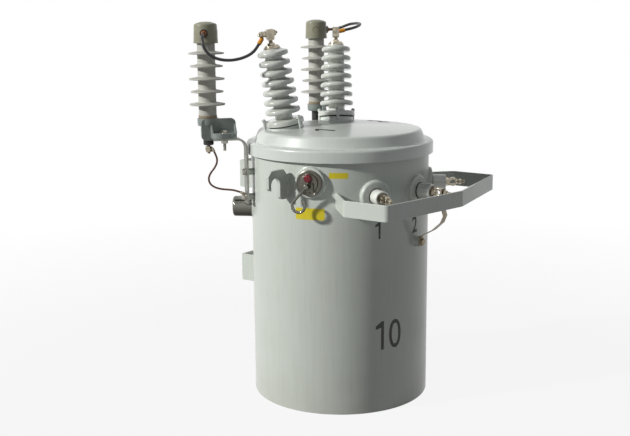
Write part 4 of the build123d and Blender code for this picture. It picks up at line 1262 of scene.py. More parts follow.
# ---------------------------------------------------------------- high-voltage bushings
@dataclass
class HighVoltageBushing(Assembly):
    """Tilted porcelain bushing with thick round sheds, and its cap, stem and clamp block.

    Attributes:
        side: Sign of x of the bushing.
        bearing: Its bearing round the tank on either side.
        seat_r: Distance of its foot from the tank's axis.
        seat_z: Height of its foot.
        tilt: Degrees that it leans outwards.
        core_r: Radius of the porcelain between sheds.
        first_shed: Height of the lowest shed's middle above the foot.
        pitch: Distance from shed to shed.
        half_shed: Half a shed's thickness at the rim.
        top: Height of the porcelain's top above the foot.
        block_z: Height of the clamp block's middle over that top.
    """

    side: int = -1
    bearing: float = 127.5
    seat_r: float = 143.0
    seat_z: float = 692.0
    tilt: float = 9.3
    flange_r: float = 48.0
    flange_top: float = 16.0
    core_r: float = 21.5
    first_shed: float = 37.0
    pitch: float = 23.7
    sheds: int = 7
    low_shed_r: float = 44.0
    top_shed_r: float = 38.0
    half_shed: float = 6.5
    top: float = 191.2
    block_z: float = 37.0
    stem_r: float = 5.5
    bolt_r: float = 3.5

    @property
    def place(self) -> Array:
        """Place on the cover's pad, its Z along the bushing."""
        return polar(self.side * self.bearing, self.seat_r, self.seat_z) @ turn(Axis.Y, self.tilt)

    @property
    def bolt_place(self) -> Array:
        """Place in the middle of the clamp block, its X along the cross bolt."""
        return self.place @ shift(z=self.top + self.block_z)

    def profile(self) -> Array:
        """Half section: the flange, then for each shed its underside, round rim, top and the core.

        Returns:
            Its points, from the foot to the top.
        """
        core, half, flange = self.core_r, self.half_shed, self.flange_top
        corners = [(0.0, 3.0), (self.flange_r, 3.0), (self.flange_r, flange), (core, flange + 1)]
        rounds = {1: 1.5, 2: 4.5, 3: 3.5}
        for i in range(self.sheds):
            rim = self.low_shed_r + (self.top_shed_r - self.low_shed_r) * i / (self.sheds - 1)
            z, k = self.first_shed + self.pitch * i, len(corners)
            corners += [(core, z - 0.9 * half), (rim, z - half)]
            corners += [(rim, z + 0.8 * half), (core, z + 1.5 * half)]
            rounds |= {k: 2.6, k + 1: 0.8 * half, k + 2: 0.85 * half, k + 3: 3.2}
        corners += [(core, self.top), (0.0, self.top)]
        rounds[len(corners) - 2] = 2.0
        return rounded(corners, rounds, 5)

    def build(self) -> None:
        """Builds the porcelain and its terminal."""
        number = 1 if self.side < 0 else 2
        sheds = lathe(self.profile(), 96).placed(self.place)
        self.piece(f"hv_porcelain_{number}", sheds, PORCELAIN, [f"hv_bushing_{number}"])
        self.piece(f"hv_cap_{number}", self.terminal(), TINNED, [f"hv_terminal_{number}"], bevel=0.35)

    def terminal(self) -> Surface:
        """Stepped cap, nut, threaded stem and clamp block with its cross bolt, washers and nuts.

        Returns:
            The closed surfaces in the model's place.
        """
        top = self.top
        cap = [(0, top), (20, top), (20, top + 4.4), (17, top + 5), (17, top + 8), (0, top + 8)]
        column = lathe(rounded(cap, {1: 0.8, 2: 0.9, 4: 1.0}, 3), 72)
        column += hex_nut(9.5, top + 8, top + 13.5) + thread(self.stem_r, top + 13, top + 28, COARSE)
        outline = [(-8, -16.5), (6.5, -16.5), (10, -8), (10, 4), (5, 10), (-10, 10), (-10, -8)]
        rounds = {0: 2.0, 1: 2.0, 2: 3.0, 4: 3.0, 5: 3.0, 6: 3.0}
        block = bar(rounded(outline, rounds, 3, True), -8.5, 8.5).placed(turn(Axis.X, 90))
        nuts = [hex_nut(7, low, high) for low, high in ((10.8, 16), (19.5, 25.5), (-16, -11.8))]
        threads = [thread(self.bolt_r, low, high, PITCH) for low, high in ((10, 29.5), (-20, -9))]
        washers = [washer(7.6, -11.8, -10), washer(7.4, 9.9, 10.9)]
        bolt = joined([*nuts, *washers, *threads]).placed(OUTWARD)
        return column.placed(self.place) + (block + bolt).placed(self.bolt_place)


@dataclass
class HighVoltageSeats(Assembly):
    """Gaskets under both high-voltage bushings and the three clamps of each."""

    stud_x: float = 52.0
    stud_r: float = 3.0
    foot_top: float = 19.0

    def build(self) -> None:
        """Builds both gaskets as one piece and all clamps as another."""
        seals, clamps = [], []
        for _, side in SIDES:
            place = HighVoltageBushing(side).place
            seals.append(ring(30, 41.5, -0.4, 3.2, 0.8, 96).placed(place))
            first = 90.0 * (1 - side) + 60.0  # one clamp points inwards on the +X side, outwards on the other
            clamps += [self.clamp().placed(place @ turn(Axis.Z, first + 120.0 * i)) for i in range(3)]
        self.piece("hv_seals", joined(seals), NITRILE, ["hv_gaskets"])
        self.piece("hv_clamp_set", joined(clamps), COVER_PAINT, ["hv_clamps"], bevel=0.3)

    def clamp(self) -> Surface:
        """Foot that grips the flange, its stud, nut, washer and the nut's thread.

        Returns:
            The closed surfaces, with X away from the bushing.
        """
        corners = [(41, -4.5), (52, -5.5), (55.5, -3.5), (55.5, 3.5), (52, 5.5), (41, 4.5)]
        foot = bar(rounded(corners, {1: 3, 2: 2.5, 3: 2.5, 4: 3}, 4, True), 16, self.foot_top)
        upright = thread(self.stud_r, -12, 25, PITCH) + washer(5.6, 18.9, 19.8) + hex_nut(5.2, 19.8, 23.4)
        sleeve = lathe(np.array([(0, -6), (3.4, -6), (3.4, 16), (0, 16)]), 32)
        return foot + (upright + sleeve).placed(shift(x=self.stud_x))


# ---------------------------------------------------------------- arresters
def strap_place(side: int, z: float = 0.0) -> Array:
    """Place on the tank's wall at a strap's bearing, its X outwards."""
    return polar(side * STRAP_BEARING, TANK_R, z)


@dataclass
class Arrester(Assembly):
    """Surge arrester: silicone housing with thin sheds, domed cap, moulded bracket and disconnector.

    Attributes:
        side: Sign of x of the arrester.
        length: Height of the housing up to its cap.
        shed_radii: Radii of the wide and the narrow sheds, which take turns.
        cap_taper: How much narrower the cap is at its shoulder.
        gland_z: Height of the jumper's gland over the cap's foot.
        gland_turn: Degrees of the gland's bearing from -Y.
        foot_z: Height of the housing's foot.
        foot_out: Its distance from the wall at the strap.
        foot_aside: Its distance to the side of the strap.
        shelf_x: Where the gussets stand on the shelf, from the wall.
        shelf_z: Heights of the shelf's two faces.
    """

    side: int = -1
    body_r: float = 22.0
    length: float = 183.0
    first_shed: float = 34.0
    pitch: float = 31.1
    sheds: int = 5
    shed_radii: tuple[float, float] = (44.0, 40.5)
    cap_r: float = 30.0
    cap_taper: float = 2.0
    cap_height: float = 52.0
    gland_z: float = 24.0
    gland_turn: float = 55.2
    foot_z: float = 712.0
    foot_out: float = 104.4
    foot_aside: float = 38.9
    shelf_x: tuple[float, float] = (42.0, 100.0)
    shelf_z: tuple[float, float] = (665.0, 678.0)
    cup_r: float = 26.0
    isolator_r: float = 14.2

    @property
    def number(self) -> int:
        """1 on the -X side and 2 on the +X side."""
        return 1 if self.side < 0 else 2

    @property
    def place(self) -> Array:
        """Place at the underside of the housing, turned as the tank is."""
        foot = strap_place(self.side, self.foot_z) @ shift(self.foot_out, self.side * self.foot_aside)
        return shift(*foot[:3, 3])

    def build(self) -> None:
        """Builds the housing, its end ring, the cap, the bracket, the disconnector and its stud."""
        i, place = self.number, self.place
        collar = lathe(rounded([(0, 0), (23, 0), (23, 6), (21.5, 8), (0, 8)], {1: 0.5, 2: 0.6}, 3))
        self.piece(f"arrester_sheds_{i}", self.housing().placed(place), SILICONE, [f"arrester_body_{i}"])
        self.piece(f"arrester_ring_{i}", collar.placed(place), BROWN_RESIN)
        self.piece(f"arrester_guard_{i}", self.cap().placed(place), CAP_PLASTIC, [f"arrester_cap_{i}"])
        # The dark ring round the knock-out is painted shade of its groove.
        self.piece(f"knock_out_shade_{i}", self.knock_out_shade().placed(place), KNOCK_OUT_SHADE)
        self.piece(f"bracket_{i}", self.bracket(), POLYESTER, [f"arrester_bracket_{i}"], bevel=0.7)
        isolator = self.disconnector().placed(place)
        self.piece(f"disconnector_{i}", isolator, BLACK_NYLON, [f"arrester_disconnector_{i}"])
        self.piece(f"disconnector_stud_{i}", self.stud().placed(place), TINNED)

    def housing(self) -> Surface:
        """Silicone housing: for each shed a flat underside, a thin rim and a top that slopes to the core.

        Returns:
            The surface, its foot at z 0.
        """
        core, end = self.body_r, self.length + 14
        corners = [(0.0, 7.0), (core, 7.0)]
        rounds: dict[int, float] = {}
        for i in range(self.sheds):
            rim, z, k = self.shed_radii[i % 2], self.first_shed + self.pitch * i, len(corners)
            corners += [(core, z - 3), (rim, z - 1.7), (rim, z + 1.7), (core, z + 5.5)]
            rounds |= {k: 1.5, k + 1: 1.5, k + 2: 1.5, k + 3: 3.0}
        corners += [(core, end), (0.0, end)]
        return lathe(rounded(corners, rounds, 4), 96)

    def cap(self) -> Surface:
        """Hollow domed cap with a band round its foot and the gland for the jumper.

        Returns:
            The closed surfaces, about the housing's foot.
        """
        low, top, out = self.length, self.length + self.cap_height, self.cap_r
        corners = [(0, low + 15), (27.4, low + 15), (27.6, low), (out, low)]
        corners += [(out - self.cap_taper, top - 6.0), (13.0, top - 0.8), (0, top)]
        shell = lathe(rounded(corners, {2: 0.8, 3: 0.8, 4: 5.5, 5: 30.0}, 7), 96)
        near, far = out - 0.8, out + 0.2
        edge = [(near, low + 1.2), (far, low + 1.6), (far, low + 4.2), (near, low + 4.6)]
        band = lathe(rounded(edge, {1: 0.4, 2: 0.4}, 2, True), 96, True)
        hub = rounded([(0, 20), (10.6, 20), (9.5, 31), (9.5, 32.9), (0, 32.9)], {2: 2.0, 3: 0.8}, 3)
        return shell + band + lathe(hub, 48).placed(self.gland_place[0])

    def knock_out_shade(self) -> Surface:
        """Dark line round the knock-out in the cap's wall, on the other side from the gland: painted shade of
        the knock-out's groove.

        Returns:
            The closed surface, about the housing's foot.
        """
        wall = self.cap_r - self.cap_taper * self.gland_z / (self.cap_height - 6.0)
        way = turn(Axis.Z, -90 - self.side * self.gland_turn) @ shift(wall - 0.35)
        return round_bead(wall, 8.5, np.full(72, 0.75)).placed(shift(z=self.length + self.gland_z) @ way)

    @property
    def gland_place(self) -> tuple[Array, Array]:
        """Place of the gland, on the cap's axis with its Z outwards.

        Returns:
            The place about the housing's foot, and the place in the model.
        """
        level = shift(z=self.length + self.gland_z)
        local = level @ turn(Axis.Z, -90 + self.side * self.gland_turn) @ OUTWARD
        return local, self.place @ local

    def bracket(self) -> Surface:
        """Moulded bracket: upright web, shelf with a round outer side, two gussets and a short cup.

        Returns:
            The closed surfaces in the model's place.
        """
        low, high = self.shelf_z
        near, far = sorted((self.side * 16.0, self.side * 26.0))
        corners = [(39, 658), (125, 658), (125, self.foot_z), (39, self.foot_z)]
        face = rounded(corners, dict.fromkeys(range(4), 12.0), 8, True)
        web = bar(face, -far, -near).placed(turn(Axis.X, 90))
        plan = rounded([(40, 17), (102, 17), (102, -23), (40, -23)], {2: 24, 3: 24}, 12, True)
        shelf = bar(plan * [1, self.side], low, high)
        rib = bar(np.array([(17, high - 1), (17, high + 22), (-8, high - 0.5)]) * [self.side, 1], -2, 2)
        ribs = [rib.placed(shift(x) @ turn(Axis.Z, 90) @ turn(Axis.X, 90)) for x in self.shelf_x]
        r = self.cup_r
        section = [(0, -19), (r - 1.2, -19), (r, -12), (r, -0.1), (0, -0.1)]
        cup = lathe(rounded(section, {1: 3, 2: 4, 3: 0.8}, 5), 96)
        return joined([web, shelf, *ribs]).placed(strap_place(self.side)) + cup.placed(self.place)

    def disconnector(self) -> Surface:
        """Black isolator under the cup, with a step and two grooves near its foot.

        Returns:
            The closed surface, about the housing's foot.
        """
        r = self.isolator_r
        slim, groove = r - 1.2, r - 2.0
        section = [(0, -67), (r - 3.2, -67), (slim, -65)]
        for z in (-61.8, -58.4):
            section += [(slim, z), (groove, z + 0.6), (slim, z + 1.2)]
        section += [(slim, -47), (r, -45.5), (r, -13), (0, -13)]
        return lathe(rounded(section, {2: 0.8}, 3), 72)

    def stud(self) -> Surface:
        """Threaded stud below the isolator, its two nuts and their washer.

        Returns:
            The closed surfaces, about the housing's foot.
        """
        nuts = [hex_nut(8, -75.6, -70), hex_nut(8, -84.5, -79)]
        return joined([thread(4, -89, -66.5, PITCH), *nuts, washer(9.4, -76.2, -75.3)])


@dataclass
class ArresterStraps(Assembly):
    """Both bent straps with their welded bosses, bolts and washers.

    Attributes:
        gap: How far a strap stands off the wall.
        thick: The strap's thickness.
        lug: Room under the lower bolt's head for the lead's lug.
        shelf_hole: Distance of the shelf's bolt from the wall.
    """

    bolt_heights: tuple[float, float] = (516.0, 579.0)
    boss_r: float = 8.0
    gap: float = 15.0
    thick: float = 5.0
    lug: float = 2.5
    shelf_hole: float = 71.0

    def build(self) -> None:
        """Builds straps, bosses, strap bolts and shelf bolts."""
        for number, _ in SIDES:
            self.refined(f"arrester_strap_{number}", ZINC, 0.7)
        bosses, bolts = [], []
        for side, z in self.seats():
            place = strap_place(side, z) @ OUTWARD
            bosses.append(disc(self.boss_r, -1.5, self.gap, 0.8, 48).placed(place))
            bolts.append(self.bolt(z).placed(place))
        shelf = [self.shelf_bolt().placed(strap_place(side) @ shift(self.shelf_hole)) for _, side in SIDES]
        self.piece("strap_stubs", joined(bosses), TANK_PAINT, ["strap_bosses"])
        self.piece("strap_bolt_set", joined(bolts), PLATED, ["strap_bolts"], bevel=0.3)
        self.piece("shelf_bolt_set", joined(shelf), PLATED, ["shelf_bolts"], bevel=0.3)

    def seats(self) -> list[tuple[int, float]]:
        """Side and height of each boss."""
        return [(side, z) for _, side in SIDES for z in self.bolt_heights]

    def bolt(self, z: float) -> Surface:
        """Washer, head and shank; the lower bolt leaves room for the lead's lug.

        Args:
            z: Height of the bolt.

        Returns:
            The closed surfaces, with Z away from the wall.
        """
        face = self.gap + self.thick
        head = face + 2.0 + (self.lug if z == self.bolt_heights[0] else 0.0)
        shank = disc(4, self.gap - 1, head + 6.6, 0.6, 32)
        return washer(10, face, face + 2) + hex_nut(8, head, head + 6) + shank

    def shelf_bolt(self) -> Surface:
        """Bolt through the shelf and the arm: head and washer above, nut, washer and thread below.

        Returns:
            The closed surfaces, about the bolt's own axis.
        """
        above = [hex_nut(8.5, 679.2, 685), washer(10, 678, 679.3)]
        below = [washer(10, 658.6, 660.1), hex_nut(8.5, 652, 658.7)]
        return joined([*above, *below, thread(4, 634, 661, PITCH), disc(4, 660, 680, 0.4, 32)])


# ---------------------------------------------------------------- low-voltage side
@dataclass
class LowVoltageBushing(Assembly):
    """Short white porcelain sleeve on a raised boss, with its gasket and eye terminal."""

    number: int = 1
    spacing: float = 34.0
    seat_r: float = 234.0
    z: float = 541.0
    porcelain_r: float = 18.5
    end: float = 35.5
    wall: float = 4.0
    sunk: float = 7.0
    eye_x: float = 53.5

    @property
    def bearing(self) -> float:
        """Bearing: the middle bushing stands at 0."""
        return self.spacing * (self.number - 2)

    @property
    def place(self) -> Array:
        """Place on the boss, its X outwards."""
        return polar(self.bearing, self.seat_r, self.z)

    def build(self) -> None:
        """Builds the porcelain sleeve and the terminal."""
        outer, inner, face = self.porcelain_r, self.porcelain_r - self.wall, self.end - self.sunk
        corners = [(0, 2.2), (outer, 2.2), (outer, self.end), (inner, self.end)]
        corners += [(inner - 0.6, face), (0, face)]
        sleeve = lathe(rounded(corners, {1: 0.8, 2: 2.8, 3: 1.0, 4: 1.5}, 5), 96).placed(self.place @ OUTWARD)
        i = self.number
        self.piece(f"lv_porcelain_{i}", sleeve, WHITE_PORCELAIN, [f"lv_bushing_{i}"])
        self.piece(f"lv_eye_{i}", self.terminal(), TINNED, [f"lv_terminal_{i}"], bevel=0.35)

    def terminal(self) -> Surface:
        """Washers and nut on the stud, the eye clamp with its boss, and the screw at its end.

        Returns:
            The closed surfaces in the model's place.
        """
        face = self.end - self.sunk
        nuts = [washer(11.2, face - 0.2, 30.5), washer(10.2, 30.4, 34.4), hex_nut(11, 34.4, 42.4)]
        neck = rounded([(0, 41.5), (8.2, 41.5), (7.2, 46), (0, 46)], {1: 0.8}, 3)
        crown = rounded([(0, 61), (7.2, 61), (6.4, 65.6), (0, 65.6)], {2: 1.0}, 3)
        screw = [hex_nut(7, 68, 75.4)]
        screw += [thread(r, low, high, PITCH) for r, low, high in ((4.4, 42, 46), (4, 62, 69), (4, 75, 84))]
        eye = ring(5.5, 11, -6, 6, 1.6, 72).placed(shift(self.eye_x) @ turn(Axis.X, 90))
        turned = joined([*nuts, lathe(neck, 48), lathe(crown, 48), *screw]).placed(OUTWARD)
        return (turned + eye).placed(self.place)


@dataclass
class LowVoltageSeats(Assembly):
    """Raised bosses and gaskets under the low-voltage bushings."""

    boss_r: float = 38.0
    boss_round: float = 6.0

    def build(self) -> None:
        """Builds the bosses as one piece and the gaskets as another."""
        places = [LowVoltageBushing(number).place @ OUTWARD for number in (1, 2, 3)]
        seat = boss(self.boss_r, -12.6, 0, self.boss_round, 6)
        self.piece("lv_seats", joined(seat.placed(place) for place in places), TANK_PAINT, ["lv_bosses"])
        seal = ring(9, 20, -0.3, 2.6, 0.7, 72)
        self.piece("lv_seals", joined(seal.placed(place) for place in places), NITRILE, ["lv_gaskets"])


@dataclass
class WeldedFittings(Assembly):
    """Bent guard bar, lifting lugs and pole hangers, cut from plate and painted with the tank."""

    plates: tuple[str, ...] = (
        "lv_guard", "lifting_lug_left", "lifting_lug_right", "hanger_lower", "hanger_upper"
    )
    edge: float = 0.9

    def build(self) -> None:
        """Dresses each plate with softened edges."""
        for node in self.plates:
            self.refined(node, TANK_PAINT, self.edge)


@dataclass
class NeutralLink(Assembly):
    """Thin tinned strap from the middle bushing to the grounding boss, and the boss with its bolt."""

    boss_r: float = 13.0
    boss_top: float = 14.0
    z: float = 414.0

    def build(self) -> None:
        """Builds the strap, the boss and the bolt."""
        # The link's strap and bolt take the darker tinned finish: painted shade for the tank's shaded side.
        self.refined("neutral_strap", SHADE_TINNED, 0.35)
        place = polar(0, TANK_R, self.z) @ OUTWARD
        seat = boss(self.boss_r, -0.8, self.boss_top, 1.4, 4, 72)
        self.piece("ground_seat", seat.placed(place), TANK_PAINT, ["ground_boss"])
        head = washer(11.5, 15.9, 17.4) + hex_nut(9, 17.2, 23.4) + disc(4, 14, 24, 0.5, 32)
        self.piece("ground_bolt", head.placed(place), SHADE_TINNED, bevel=0.3)


@dataclass
class TapChanger(Assembly):
    """Polished cup over the tap changer's knob, with a rolled lip."""

    radius: float = 27.0
    reach: float = 51.0
    bearing: float = -146.0
    z: float = 479.0

    def build(self) -> None:
        """Builds the cup with a crowned end."""
        corners = [(0, -1.8), (self.radius, -1.8), (self.radius - 1.0, self.reach - 1.2), (0, self.reach)]
        lip = ring(self.radius - 3, self.radius, 1.2, 4.0, 0.9, 96)
        cup = lathe(rounded(corners, {2: 7.0}, 8), 120) + lip
        place = polar(self.bearing, TANK_R, self.z) @ OUTWARD
        self.piece("tap_cup", cup.placed(place), STAINLESS, ["tap_changer_cup"])


# ---------------------------------------------------------------- breaker
BREAKER_PLACE = polar(BREAKER_BEARING, TANK_R, BREAKER_Z)


@dataclass
class Breaker(Assembly):
    """Breaker's painted boss, worn metal disc with its dome, pointer and red lamp."""

    boss_r: float = 37.0
    boss_top: float = 9.0
    disc_r: float = 31.0
    dome_r: float = 22.0
    face: float = 19.0
    lamp_r: float = 10.5
    lamp_rise: float = 12.0
    ticks: int = 13
    mark_end: float = 27.8

    def build(self) -> None:
        """Builds the boss, the disc with its dome and pointer, the marks round it and the lens."""
        place = BREAKER_PLACE @ OUTWARD
        seat = boss(self.boss_r, -12.2, self.boss_top, 3.0, 5)
        self.piece("breaker_seat", seat.placed(place), TANK_PAINT)
        self.piece("breaker_disc", self.plate(), WORN_STAINLESS, ["breaker_plate"], bevel=0.3)
        self.piece("breaker_ticks", self.marks(), MARKING)
        lens = rounded([(0, 0.4), (10.2, 0.4), (10.2, 2.4), (8.2, 6.7), (0, 8)], {3: 3.2}, 7)
        dome = lathe(lens, 72).placed(BREAKER_PLACE @ shift(self.face, 0, self.lamp_rise) @ OUTWARD)
        self.piece("breaker_lens", dome, RED_LENS, ["breaker_lamp"])

    def plate(self) -> Surface:
        """Disc with a rolled rim, the dome on it, the lamp's ring, the shaft's bearing and the pointer.

        Returns:
            The closed surfaces in the model's place.
        """
        face, rim, dome = self.face, self.disc_r, self.dome_r
        corners = [(0, 8.6), (rim, 8.6), (rim, 13.2), (rim - 1.8, 14.0), (rim - 2.6, 13.2)]
        corners += [(dome + 0.6, 13.2), (dome, 14.2), (dome, face), (0, face)]
        plate = lathe(rounded(corners, {1: 1.0, 2: 0.6, 3: 0.5, 7: 2.6}, 4), 96)
        bezel = ring(9.4, self.lamp_r + 0.6, face - 0.4, face + 1.8, 0.5, 72).placed(shift(-self.lamp_rise))
        bearing = ring(4.2, 7.4, face - 0.4, face + 2.4, 0.6, 48).placed(shift(6.0))
        outline = [(-2.5, -21), (2.5, -21), (2.5, -3), (0.0, 3), (-2.5, -3)]
        pointer = bar(rounded(outline, {0: 1.0, 1: 1.0, 3: 0.8}, 3, True), face - 0.4, face + 6)
        rivet = disc(1.7, face + 5.6, face + 6.5, 0.3, 24).placed(shift(y=-17.0))
        arm = (pointer + rivet).placed(turn(Axis.Y, 90) @ turn(Axis.Z, 90) @ shift(11.0))
        return ((plate + bezel + bearing).placed(OUTWARD) + arm).placed(BREAKER_PLACE)

    def marks(self) -> Surface:
        """Short even marks round the disc, the first and last longer.

        Returns:
            The marks as slabs in the model's place.
        """
        out, made = self.mark_end, []
        for i in range(self.ticks):
            near = out - (3.6 if i in (0, self.ticks - 1) else 2.2)
            outline = np.array([(near, -0.35), (out, -0.35), (out, 0.35), (near, 0.35)])
            made.append(bar(outline, 13.1, 13.35).placed(OUTWARD @ turn(Axis.Z, 150 + 10 * i)))
        return joined(made).placed(BREAKER_PLACE)


@dataclass
class BreakerHandle(Assembly):
    """Breaker's shaft and bent wire handle, its end a loop for a hook stick."""

    body: ClassVar[str] = "handle"
    wire_r: float = 3.5
    standoff: float = 35.0
    drop: float = 6.0
    eye_aside: float = 19.0
    eye_drop: float = 45.0
    eye_r: float = 15.5
    sweep: float = 285.0

    def path(self) -> Array:
        """Wire's middle line: straight to where it touches the loop, then round the loop.

        The touching point lies on the loop's circle at the direction back to the shaft plus the angle
        whose cosine is the loop's radius over the distance between the two.

        Returns:
            Its points about the shaft, with x away from the tank.
        """
        middle = np.array([-self.eye_aside, -self.eye_drop])
        away = float(np.hypot(*middle))
        touch = math.atan2(*-middle[::-1]) + math.acos(self.eye_r / away)
        angle = touch + np.radians(np.linspace(0, self.sweep, 72))
        loop = middle + self.eye_r * np.stack([np.cos(angle), np.sin(angle)], -1)
        straight = np.linspace([0.0, 0.0], loop[0], 24)[:-1]
        flat = np.concatenate([straight, loop])
        return np.column_stack([np.full(len(flat), self.standoff), flat])

    def build(self) -> None:
        """Builds the shaft, its hub and the wire as one piece."""
        path = self.path()
        gone = np.concatenate([[0.0], np.cumsum(np.linalg.norm(np.diff(path, axis=0), axis=1))])
        near_end = np.clip((gone[-1] - gone) / self.wire_r, 0.05, 1)
        radius = self.wire_r * np.sqrt(1 - (1 - near_end) ** 2)
        wire = tube(path, np.array([1.0, 0.0, 0.0]), radius, 20)
        shaft = disc(3.9, 9, 40, 0.6, 40) + disc(6.2, 30.5, 39, 1.2, 48)
        whole = (wire + shaft.placed(OUTWARD)).placed(BREAKER_PLACE @ shift(z=-self.drop))
        self.piece("handle_wire", whole, STAINLESS, ["breaker_handle"])


# ---------------------------------------------------------------- cords and their lugs
@dataclass
class Cord(Assembly):
    """Limp cord between two fittings of the transformer, along one smooth curve.

    Attributes:
        name: The CAD node that it is shown instead of.
        radius: Radius over its cover.
        length: Its real length; not used.
        finish: Its cover.
        route: Control points of its curve, from where it leaves the first fitting.
    """

    name: str
    radius: float
    length: float
    finish: Finish
    route: tuple[tuple[float, float, float], ...]

    def build(self) -> None:
        curve = bpy.data.curves.new(self.name + "_cord", "CURVE")
        curve.dimensions = "3D"
        spline = curve.splines.new("NURBS")
        spline.points.add(len(self.route) - 1)
        weights = np.ones(len(self.route))
        spline.points.foreach_set("co", np.column_stack([np.array(self.route) * MM, weights]).ravel())
        spline.order_u = 3
        spline.use_endpoint_u = True
        spline.resolution_u = 8
        curve.bevel_depth = self.radius * MM
        curve.bevel_resolution = 5
        curve.use_fill_caps = True
        curve.materials.append(self.finish.material())
        made = shown(self.name + "_cord", curve)
        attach(made, self.body)
        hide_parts(self.name)
        LOG.info("%s: %d control points, %s", made.name, len(self.route), self.finish.name)


@dataclass
class CableLugs(Assembly):
    """Ring lugs with their sleeves at the ends of the jumpers and the ground leads.

    Attributes:
        jumper_sleeve: Radius, length and flare of a jumper's sleeve.
        lead_sleeve: The same for a lead's.
        jumper_ends: For each side, the sleeve's mouth about the clamp block and the way it points.
    """

    jumper_sleeve: tuple[float, ...] = (5.5, 17.0, 0.3)
    lead_sleeve: tuple[float, ...] = (3.6, 11.0, 0.1)
    jumper_ends: tuple[tuple[tuple[float, ...], tuple[float, ...]], ...] = (
        ((29.56, -0.92, -20.19), (-0.672, -0.072, 0.737)),
        ((17.75, -24.45, 5.2), (0, 0.978, -0.208)),
    )

    def sleeve(self, radius: float, length: float, flare: float) -> Surface:
        """Tube from its mouth at z 0 to its narrowed end, its mouth flared by a little.

        Args:
            radius: Radius of the tube.
            length: Its length.
            flare: How far the mouth stands over that radius.

        Returns:
            The closed surface.
        """
        corners = [(0, -0.6), (radius + flare, -0.6), (radius, 1.8), (radius, length - 3.5)]
        corners += [(radius * 0.7, length), (0, length)]
        return lathe(rounded(corners, {1: 0.4, 2: 2.0, 3: 3.0, 4: 1.0}, 3), 40)

    def build(self) -> None:
        """Builds the jumpers' sleeves, their rings, the glands' grommets and the leads' lugs."""
        corners = [(3.2, 30), (6.8, 30), (6.8, 33.4), (5.4, 36.6), (4.3, 40), (3.2, 40)]
        cuff = lathe(rounded(corners, {2: 0.8, 3: 1.4, 4: 0.5}, 3, True), 48, True)
        sleeves, rings, cuffs, rims = [], [], [], []
        for (_, side), (mouth, way) in zip(SIDES, self.jumper_ends):
            bolt, gland = HighVoltageBushing(side).bolt_place, Arrester(side).gland_place[1]
            sleeves.append(self.sleeve(*self.jumper_sleeve).placed(bolt @ aimed(mouth, way)))
            rings.append(ring(3.6, 8, 16.2, 19.3, 0.5, 48).placed(bolt @ OUTWARD))
            cuffs.append(cuff.placed(gland))
            rims.append(ring(6.4, 10.2, 31.5, 33.4, 0.7, 48).placed(gland))
        self.piece("jumper_sleeves", joined(sleeves), SLEEVE, ["jumper_lugs"])
        self.piece("jumper_rings", joined(rings), TINNED)
        self.piece("gland_grommets", joined(cuffs), GROMMET)
        self.piece("gland_rims", joined(rims), NITRILE)
        self.piece("lead_lug_set", joined(self.lead_lugs()), TINNED, ["lead_lugs"])

    def lead_lugs(self) -> list[Surface]:
        """Lug on each arrester's stud and on each strap's lower bolt, their sleeves towards the lead.

        Returns:
            The closed surfaces in the model's place.
        """
        sleeve, made = self.sleeve(*self.lead_sleeve), []
        for _, side in SIDES:
            stud, bolt = Arrester(side).place, strap_place(side, ArresterStraps.bolt_heights[0])
            upper = aimed((-side * 5.7, -11.9, -83), (side * 0.198, 0.416, 0.887))
            lower = aimed((31.89, side * 9.44, 10), (-0.885, -side * 0.31, -0.347))
            made += [ring(4.2, 9, -78.7, -76.3, 0.4, 48).placed(stud), sleeve.placed(stud @ upper)]
            made += [ring(4.2, 9, 22.1, 24.4, 0.4, 48).placed(bolt @ OUTWARD), sleeve.placed(bolt @ lower)]
        return made


JUMPERS = (
    Cord(
        "jumper_1",
        3.75,
        235.0,
        JUMPER_COVER,
        (
            (-258.7, 218.7, 919),
            (-274.3, 207.8, 919),
            (-288.3, 198.1, 911),
            (-295.3, 190.8, 896),
            (-293, 183.9, 879),
            (-282.3, 175.5, 866),
            (-264.6, 165.9, 858),
            (-242, 156, 855),
            (-217.7, 147.3, 857),
            (-195.9, 140.6, 862.5),
            (-180, 135.2, 870),
            (-169.8, 130.1, 880),
            (-162.7, 126, 892.5),
        ),
    ),
    Cord(
        "jumper_2",
        3.75,
        229.0,
        JUMPER_COVER,
        (
            (258.7, 218.7, 919),
            (272.7, 208.9, 919),
            (282, 195, 923),
            (285, 178, 928),
            (283, 160, 933.5),
            (278, 143, 935),
            (269, 127, 936),
            (257, 112, 936),
            (243, 98.5, 935),
            (228, 88, 933),
            (212, 82.5, 930),
            (196, 82, 926.5),
            (181.8, 89.6, 922.7),
            (172.2, 101.3, 919.5),
        ),
    ),
)
LEAD_POINTS = (
    (225.9, 225.6, 629),
    (223, 219.5, 616),
    (222.5, 218.5, 602),
    (226, 224, 588),
    (231.5, 232.5, 576),
    (234.5, 238.5, 562.5),
    (233, 237.5, 549),
    (227.5, 229, 539),
    (218.5, 213.5, 533.5),
    (209, 196, 532.5),
    (200.8, 180.5, 531),
    (193.7, 169, 526),
)
LEADS = tuple(
    Cord(f"ground_lead_{number}", 2.5, 172.0, LEAD_COVER, tuple((side * x, y, z) for x, y, z in LEAD_POINTS))
    for number, side in SIDES
)


# ---------------------------------------------------------------- camera, light and floor
WHITE = (1.0, 1.0, 1.0, 1.0)


